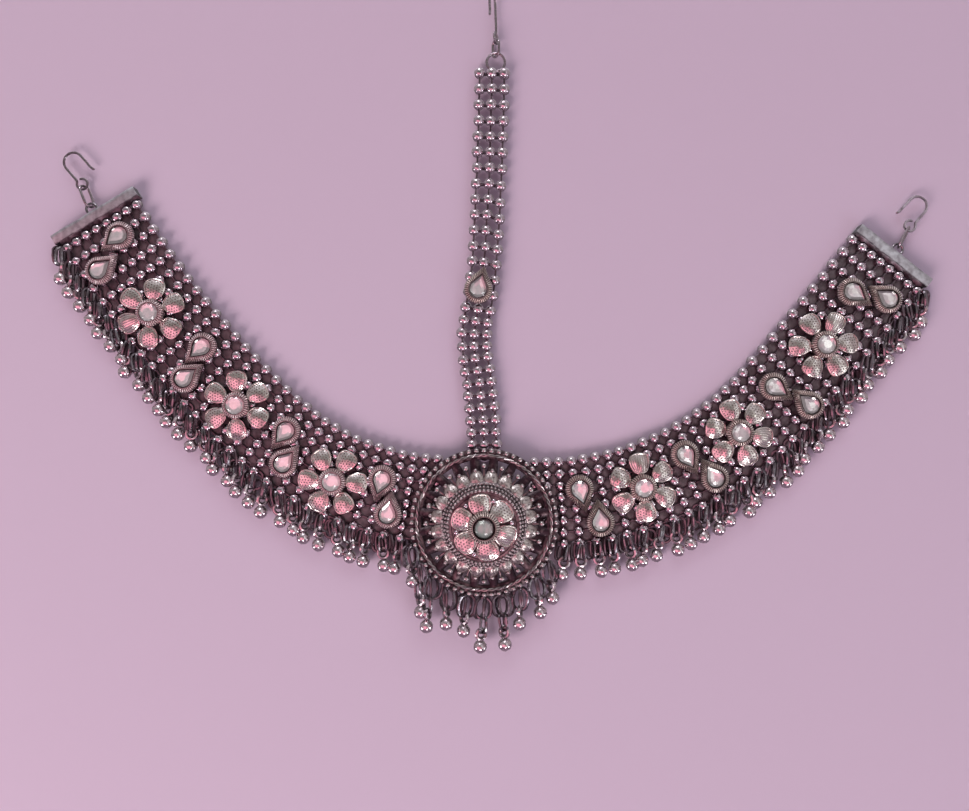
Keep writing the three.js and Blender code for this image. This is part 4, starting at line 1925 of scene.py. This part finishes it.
@dataclass
class Chain:
    """An oval link in an eye, and the hook that hangs in the link.

    Slope and lean are degrees from upright towards +X, of the link and of the hook.
    """

    bench: StockedBench
    name: str
    eye: tuple[float, float]
    slope: float
    link_turn: float
    lean: float
    hook_turn: float
    shank: float
    eye_radius: float = EYE_RADIUS
    length: float = 6.8
    link_half_width: float = 1.5
    loop_radius: float = 1.6
    loop_turn: float = 310
    neck_radius: float = 1.3
    neck_turn: float = 50
    bow_radius: float = 2.9
    tip: tuple[tuple[float, float], ...] = ((4.2, 0), (1.6, -30))
    hook_steps: int = 110
    hook_tarnish: float = 0.25

    def build(self) -> None:
        """Builds the link and the hook."""
        crossing = WIRE + LINK_PLAY
        half = self.length / 2
        slope = math.radians(self.slope)
        way = Vector((math.sin(slope), 0, math.cos(slope)))
        link_place = Vector((self.eye[0], MESH_PLANE, self.eye[1]))
        link_place += way * (self.eye_radius - crossing + half)
        hook_place = link_place + way * (half - crossing + self.loop_radius)
        link_seat = self.turned(link_place, self.slope, self.link_turn)
        hook_seat = self.turned(hook_place, self.lean, self.hook_turn)
        link = Assembly(f"link_{self.name}_ring", f"link_{self.name}", "wire")
        shape = self.bench.model_oblong(self.link_half_width, half)
        link.add(shape, [link_seat], Finish.HOOKS).build()
        hook = Assembly(f"hook_{self.name}_wire", f"hook_{self.name}", "wire")
        self.bench.lay_wire(self.hook_line().points(self.hook_steps), WIRE / 2)
        shape = self.bench.take(self.hook_tarnish)
        hook.add(shape, [hook_seat], Finish.HOOKS).build()

    def hook_line(self) -> ArcRun:
        """Draws the hook: a closed loop about the origin, a neck, a shank and an open bow.

        Returns:
            The middle line of its wire.
        """
        start = self.neck_turn - self.loop_turn
        return ArcRun(
            x=self.loop_radius * math.cos(math.radians(start)),
            z=self.loop_radius * math.sin(math.radians(start)),
            heading=start + 90,
            runs=(
                (self.loop_radius * math.radians(self.loop_turn), self.loop_turn),
                (self.neck_radius * math.radians(self.neck_turn), -self.neck_turn),
                (self.shank, 0),
                (self.bow_radius * math.pi, 180),
                *self.tip,
            ),
        )

    @staticmethod
    def turned(place: Vector, lean: float, turn: float) -> Matrix:
        """Gives the place of a piece that leans and is turned about its own length.

        Args:
            place: Middle of the piece, in millimetres.
            lean: Degrees from upright towards +X.
            turn: Degrees about its length.

        Returns:
            Matrix from the bench to the jewel's frame.
        """
        leaning = Matrix.Rotation(math.radians(lean), 4, "Y")
        turns = leaning @ Matrix.Rotation(math.radians(turn), 4, "Z")
        return Matrix.Scale(MM, 4) @ Matrix.Translation(place) @ turns @ STAND_UP


@dataclass
class Strand:
    """Three rows of balls that rise from the pendant to a ring."""

    mesh: BallMesh
    pitch: float = 3.66
    radius: float = 1.76
    girth: float = 1.9
    heading: float = -90.7
    runs: tuple[tuple[float, float], ...] = ((54.3, -2.9), (20.6, -7.4), (13.2, 20.9), (29.0, -9.8))
    upper_rows: int = 16
    upper_step: float = 4.72
    lower_rows: int = 12
    lower_step: float = 3.72
    lag: float = 1.1
    lag_row: float = 9.5
    lag_rows: float = 3.0

    def build(self) -> None:
        """Builds the strand with its ring."""
        x, z = STRAND_EYE
        path = ArcRun(0.0, z - STRAND_EYE_RADIUS + WIRE, self.heading, self.runs)
        steps = [BALL / 2 + self.upper_step * i for i in range(self.upper_rows)]
        steps += [steps[-1] + self.lower_step * (i + 1) for i in range(self.lower_rows)]
        lines = [self.line(path, steps, place) for place in (-1, 0, 1)]
        strand = self.mesh.lay("strand_balls", "strand", np.array(lines), self.radius, self.girth)
        ring = self.mesh.bench.model_oblong(STRAND_EYE_RADIUS, STRAND_EYE_RADIUS)
        strand.add(ring, [facing(x, MESH_PLANE, z)], Finish.HOOKS).build()

    def line(self, path: ArcRun, steps: Sequence[float], place: int) -> list[Triple]:
        """Strings one row of balls, of which the right-hand one hangs lower half way up.

        Args:
            path: Middle line of the strand.
            steps: Lengths along it at which the balls sit.
            place: The row's place across the strand, 1 at the right.

        Returns:
            Middles of the balls, in millimetres.
        """
        balls = []
        for i, step in enumerate(steps):
            slack = self.lag * math.exp(-(((i - self.lag_row) / self.lag_rows) ** 2))
            x, z, a = path.at(step + max(place, 0) * slack)
            across = place * self.pitch
            balls.append((x - across * math.sin(a), MESH_PLANE, z + across * math.cos(a)))
        return balls


class PanelUse(Enum):
    """What a panel is for: to light matt things, or to show in polished ones."""

    LAMP = "lamp"
    CARD = "card"


@dataclass(frozen=True)
class Panel:
    """A soft light panel, with places and sizes in millimetres and power in watts.

    A panel without a target faces straight towards the backdrop.
    """

    name: str
    use: PanelUse
    place: Triple
    size: tuple[float, float]
    power: float
    colour: str
    target: Triple | None = None

    def build(self) -> None:
        """Builds the light."""
        light = bpy.data.lights.new(self.name, "AREA")
        light.shape = "RECTANGLE"
        light.size, light.size_y = self.size[0] * MM, self.size[1] * MM
        light.energy = self.power
        light.color = linear(self.colour)[:3]
        lamp = bpy.data.objects.new(self.name, light)
        lamp.location = Vector(self.place) * MM
        x, _, z = self.place
        way = Vector(self.target or (x, 0, z)) - Vector(self.place)
        lamp.rotation_euler = way.to_track_quat("-Z", "Y").to_euler()
        lamp.visible_diffuse = self.use is PanelUse.LAMP
        lamp.visible_glossy = self.use is PanelUse.CARD
        bpy.context.scene.collection.objects.link(lamp)


# Middle of the jewel, at which panels are aimed
AIM = (0, 0, -110)
PANELS = (
    Panel("low_left", PanelUse.LAMP, (-380, -420, -560), (420, 320), 3.7, "#ffe9f0", AIM),
    Panel("low_right", PanelUse.LAMP, (430, -420, -600), (420, 320), 0.9, "#e6edff", AIM),
    Panel("top_fill", PanelUse.LAMP, (120, -430, 560), (900, 260), 1.7, "#f3f2ff", (0, 0, -100)),
    Panel("glint_left", PanelUse.CARD, (-690, -110, -510), (200, 170), 1.6, "#fff6fa", AIM),
    Panel("glint_low", PanelUse.CARD, (150, -560, -660), (210, 170), 1.6, "#fffafc", AIM),
    Panel("glint_right", PanelUse.CARD, (690, -110, -510), (200, 170), 1.2, "#f8faff", AIM),
    Panel("glint_top", PanelUse.CARD, (-60, -260, 420), (170, 140), 1.1, "#faf8ff", AIM),
    Panel("rose_card", PanelUse.CARD, (-365, -520, -305), (670, 490), 1.45, "#ffa6ba"),
    Panel("rose_strip", PanelUse.CARD, (140, -520, -320), (160, 300), 0.22, "#ff92a8"),
    Panel("white_card", PanelUse.CARD, (560, -520, -330), (340, 340), 0.55, "#f4fbf8"),
    Panel("white_spot", PanelUse.CARD, (335, -515, -75), (120, 100), 0.06, "#f2fdfa"),
    Panel("pale_card", PanelUse.CARD, (430, -540, 60), (560, 420), 0.21, "#e8e0da"),
    Panel("bar_card", PanelUse.CARD, (440, -530, 130), (220, 170), 0.11, "#e9eefc"),
    Panel("rear_card", PanelUse.CARD, (0, 450, 540), (800, 380), 0.3, "#f2eef2", AIM),
)


@dataclass
class Studio:
    """A pale backdrop and floor, soft lights and the camera.

    Places are in millimetres, and the fill and the surround have a colour and a strength.
    """

    image_width: int = 969
    focal_pixels: float = 780.0
    sensor: float = 36.0
    nearest: float = 10.0
    eye: Triple = (-2.25, -231.8, -122.85)
    sheet_size: float = 24000.0
    wall_depth: float = 4.3
    floor_height: float = -1000.0
    paper: str = "#dac9d6"
    paper_roughness: float = 0.6
    # Colours of the room in reflections, by height from straight down to straight up
    room: tuple[tuple[float, str], ...] = (
        (0.0, "#a893a0"), (0.25, "#a593a0"), (0.42, "#8d8087"), (0.475, "#6b6063"),
        (0.53, "#746d6e"), (0.6, "#878684"), (0.74, "#989795"), (0.84, "#d9d5dc"),
        (1.0, "#e6e2e8"),
    )
    room_sides: str = "#c0b3b8"
    sides_from: float = 0.35
    sides_to: float = 0.9
    fill: tuple[str, float] = ("#efe6f0", 0.4)
    surround: tuple[str, float] = ("#d6c9d5", 0.9)

    def build(self) -> None:
        """Builds the studio."""
        self.build_backdrop()
        self.build_world()
        for panel in PANELS:
            panel.build()
        self.build_camera()

    def build_backdrop(self) -> None:
        """Builds the wall and the floor, which show from their front only."""
        finish = self.backdrop_finish()
        wall = self.sheet("backdrop", finish, (0, self.wall_depth, 0), (math.pi / 2, 0, 0))
        wall.visible_shadow = False
        wall.visible_glossy = False
        floor = self.sheet("floor", finish, (0, 0, self.floor_height), (0, 0, 0))

    def sheet(
        self, name: str, finish: bpy.types.Material, place: Triple, turn: Triple
    ) -> bpy.types.Object:
        """Builds a large flat sheet.

        Args:
            name: Name of the sheet.
            finish: Its material.
            place: Its middle.
            turn: Its turn about each axis.

        Returns:
            The sheet.
        """
        bpy.ops.object.select_all(action="DESELECT")
        bpy.ops.mesh.primitive_plane_add(
            size=self.sheet_size * MM, location=Vector(place) * MM, rotation=turn
        )
        made = bpy.context.object
        made.name = name
        made.data.materials.append(finish)
        return made

    def backdrop_finish(self) -> bpy.types.Material:
        """Makes matt lilac paper that can't be seen from behind.

        Returns:
            The material.
        """
        made = bpy.data.materials.new("matt_lilac_paper")
        tree = bare_tree(made)
        side = add_node(tree, "NewGeometry")
        settings = {"Color": linear(self.paper), "Roughness": self.paper_roughness}
        paper = add_node(tree, "BsdfDiffuse", settings)
        clear = add_node(tree, "BsdfTransparent")
        links = {0: (side, "Backfacing"), 1: (paper, 0), 2: (clear, 0)}
        shader = add_node(tree, "MixShader", links=links)
        add_node(tree, "OutputMaterial", links={"Surface": (shader, 0)})
        return made

    def build_world(self) -> None:
        """Builds the room that polished metal mirrors, and the even light on matt things."""
        world = bpy.data.worlds.new("soft_room")
        tree = bare_tree(world)
        place = add_node(tree, "TexCoord")
        split = add_node(tree, "SeparateXYZ", links={0: (place, "Generated")})
        height = add_node(tree, "MapRange", {"From Min": -1.0}, {"Value": (split, 2)})
        colour = add_node(tree, "ValToRGB", links={0: (height, 0)})
        stops = colour.color_ramp.elements
        stops.remove(stops[1])
        stops[0].color = linear(self.room[0][1])
        for level, shade in self.room[1:]:
            stops.new(level).color = linear(shade)
        # The room is lighter far out to the sides than in front
        aside = add_node(tree, "Math", {"operation": "ABSOLUTE"}, {0: (split, 0)})
        limits = {"From Min": self.sides_from, "From Max": self.sides_to}
        share = add_node(tree, "MapRange", limits, {"Value": (aside, 0)})
        tones = {"data_type": "RGBA", 7: linear(self.room_sides)}
        walls = add_node(tree, "Mix", tones, {0: (share, 0), 6: (colour, 0)})
        room = add_node(tree, "Background", {"Strength": 1.0}, {"Color": (walls, 2)})
        fill, surround = (
            add_node(tree, "Background", {"Color": linear(tone), "Strength": strength})
            for tone, strength in (self.fill, self.surround)
        )
        ray = add_node(tree, "LightPath")
        links = {0: (ray, "Is Diffuse Ray"), 1: (room, 0), 2: (fill, 0)}
        lit = add_node(tree, "MixShader", links=links)
        links = {0: (ray, "Is Camera Ray"), 1: (lit, 0), 2: (surround, 0)}
        shown = add_node(tree, "MixShader", links=links)
        add_node(tree, "OutputWorld", links={"Surface": (shown, 0)})
        bpy.context.scene.world = world

    def build_camera(self) -> None:
        """Builds the camera, which looks straight at the jewel from close by."""
        camera = bpy.data.cameras.new("camera")
        camera.sensor_width = self.sensor
        camera.lens = self.sensor * self.focal_pixels / self.image_width
        camera.clip_start = self.nearest * MM
        stand = bpy.data.objects.new("camera", camera)
        stand.location = Vector(self.eye) * MM
        stand.rotation_euler = (math.pi / 2, 0, 0)
        bpy.context.scene.collection.objects.link(stand)
        bpy.context.scene.camera = stand
        bpy.context.scene.view_settings.view_transform = "Standard"


@dataclass(frozen=True)
class Place:
    """Where an ornament is set, in millimetres and degrees.

    A flower gives its middle, the turn of its first petal and its ribbed petals. A pear gives the
    middle of its round end and the way that its tip points. The height is how far in front of
    the seat plane it is set.
    """

    name: str
    x: float
    z: float
    turn: float
    ribbed: tuple[int, ...] = ()
    height: float = 0.0

    @property
    def seat(self) -> Matrix:
        """Matrix from the bench to the ornament's place."""
        return facing(self.x, SEAT_PLANE - self.height, self.z, self.turn)


FLOWERS = (
    Place("flower_left_1", -101.3, -95.4, 23, (3,)),
    Place("flower_left_2", -75.9, -122.8, 30),
    Place("flower_left_3", -47.4, -145.4, -4),
    Place("flower_right_1", 44.8, -147.2, 38, (1,)),
    Place("flower_right_2", 73.4, -130.9, 50, (5,)),
    Place("flower_right_3", 98.6, -104.8, 3, (1,)),
)
PEARS = (
    Place("pear_left_1", -110.5, -72.4, -140),
    Place("pear_left_2", -116.6, -82.9, 40),
    Place("pear_left_3", -85.9, -105.4, -137),
    Place("pear_left_4", -91.4, -114.9, 37),
    Place("pear_left_5", -61.0, -130.3, -129),
    Place("pear_left_6", -62.0, -140.1, 49),
    Place("pear_left_7", -32.6, -144.7, -108),
    Place("pear_left_8", -31.0, -155.2, 79),
    Place("pear_right_1", 26.0, -147.6, -75),
    Place("pear_right_2", 32.2, -157.6, 98),
    Place("pear_right_3", 57.2, -137.3, -59),
    Place("pear_right_4", 66.2, -144.5, 125),
    Place("pear_right_5", 83.4, -117.2, -34),
    Place("pear_right_6", 94.4, -122.8, 139),
    Place("pear_right_7", 106.7, -89.1, -35),
    Place("pear_right_8", 117.5, -91.4, 146),
    Place("pear_strand", -4.1, -88.4, 75),
)
CROWN = Place("pendant_flower", *PENDANT_PLACE, -20.0, (0,), DOME_HEIGHT + GAP)
BAR_LENGTHS = {Side.LEFT: 28.5, Side.RIGHT: 26.6}
CHAINS = {
    "left": dict(slope=-21, link_turn=62, lean=-41, hook_turn=180, shank=4.4),
    "right": dict(slope=28, link_turn=62, lean=42, hook_turn=0, shank=3.6),
    "top": dict(
        slope=0,
        link_turn=-54,
        lean=-2,
        hook_turn=72,
        shank=7.9,
        eye_radius=STRAND_EYE_RADIUS,
        length=5.0,
    ),
}


def main() -> None:
    """Builds the jewel and its studio in order."""
    logging.basicConfig(level=logging.INFO, format="%(message)s")
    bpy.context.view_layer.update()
    bench = StockedBench()
    Studio().build()

    mesh = BallMesh(bench)
    drops = Drops(bench)
    bars = {side: EndBar(bench, side, length) for side, length in BAR_LENGTHS.items()}
    for side, bar in bars.items():
        Band(side, mesh).build()
        band_fringe(drops, side).build()
        bar.build()
    Strand(mesh).build()
    eyes = {side.value: bar.eye_place() for side, bar in bars.items()} | {"top": STRAND_EYE}
    for name, eye in eyes.items():
        Chain(bench, name, eye, **CHAINS[name]).build()

    setter = Setter(bench)
    flowers = FlowerWork(setter)
    for place in FLOWERS:
        flowers.build(place.name, place.seat, place.ribbed)
    pears = PearWork(setter)
    for place in PEARS:
        pears.build(place.name, place.seat)

    PendantFrame(bench, LeafMaker(bench)).build()
    pendant_fringe(drops).build()
    PendantFlower(setter).build(CROWN.name, CROWN.seat, CROWN.ribbed)


if __name__ == "__main__":
    main()
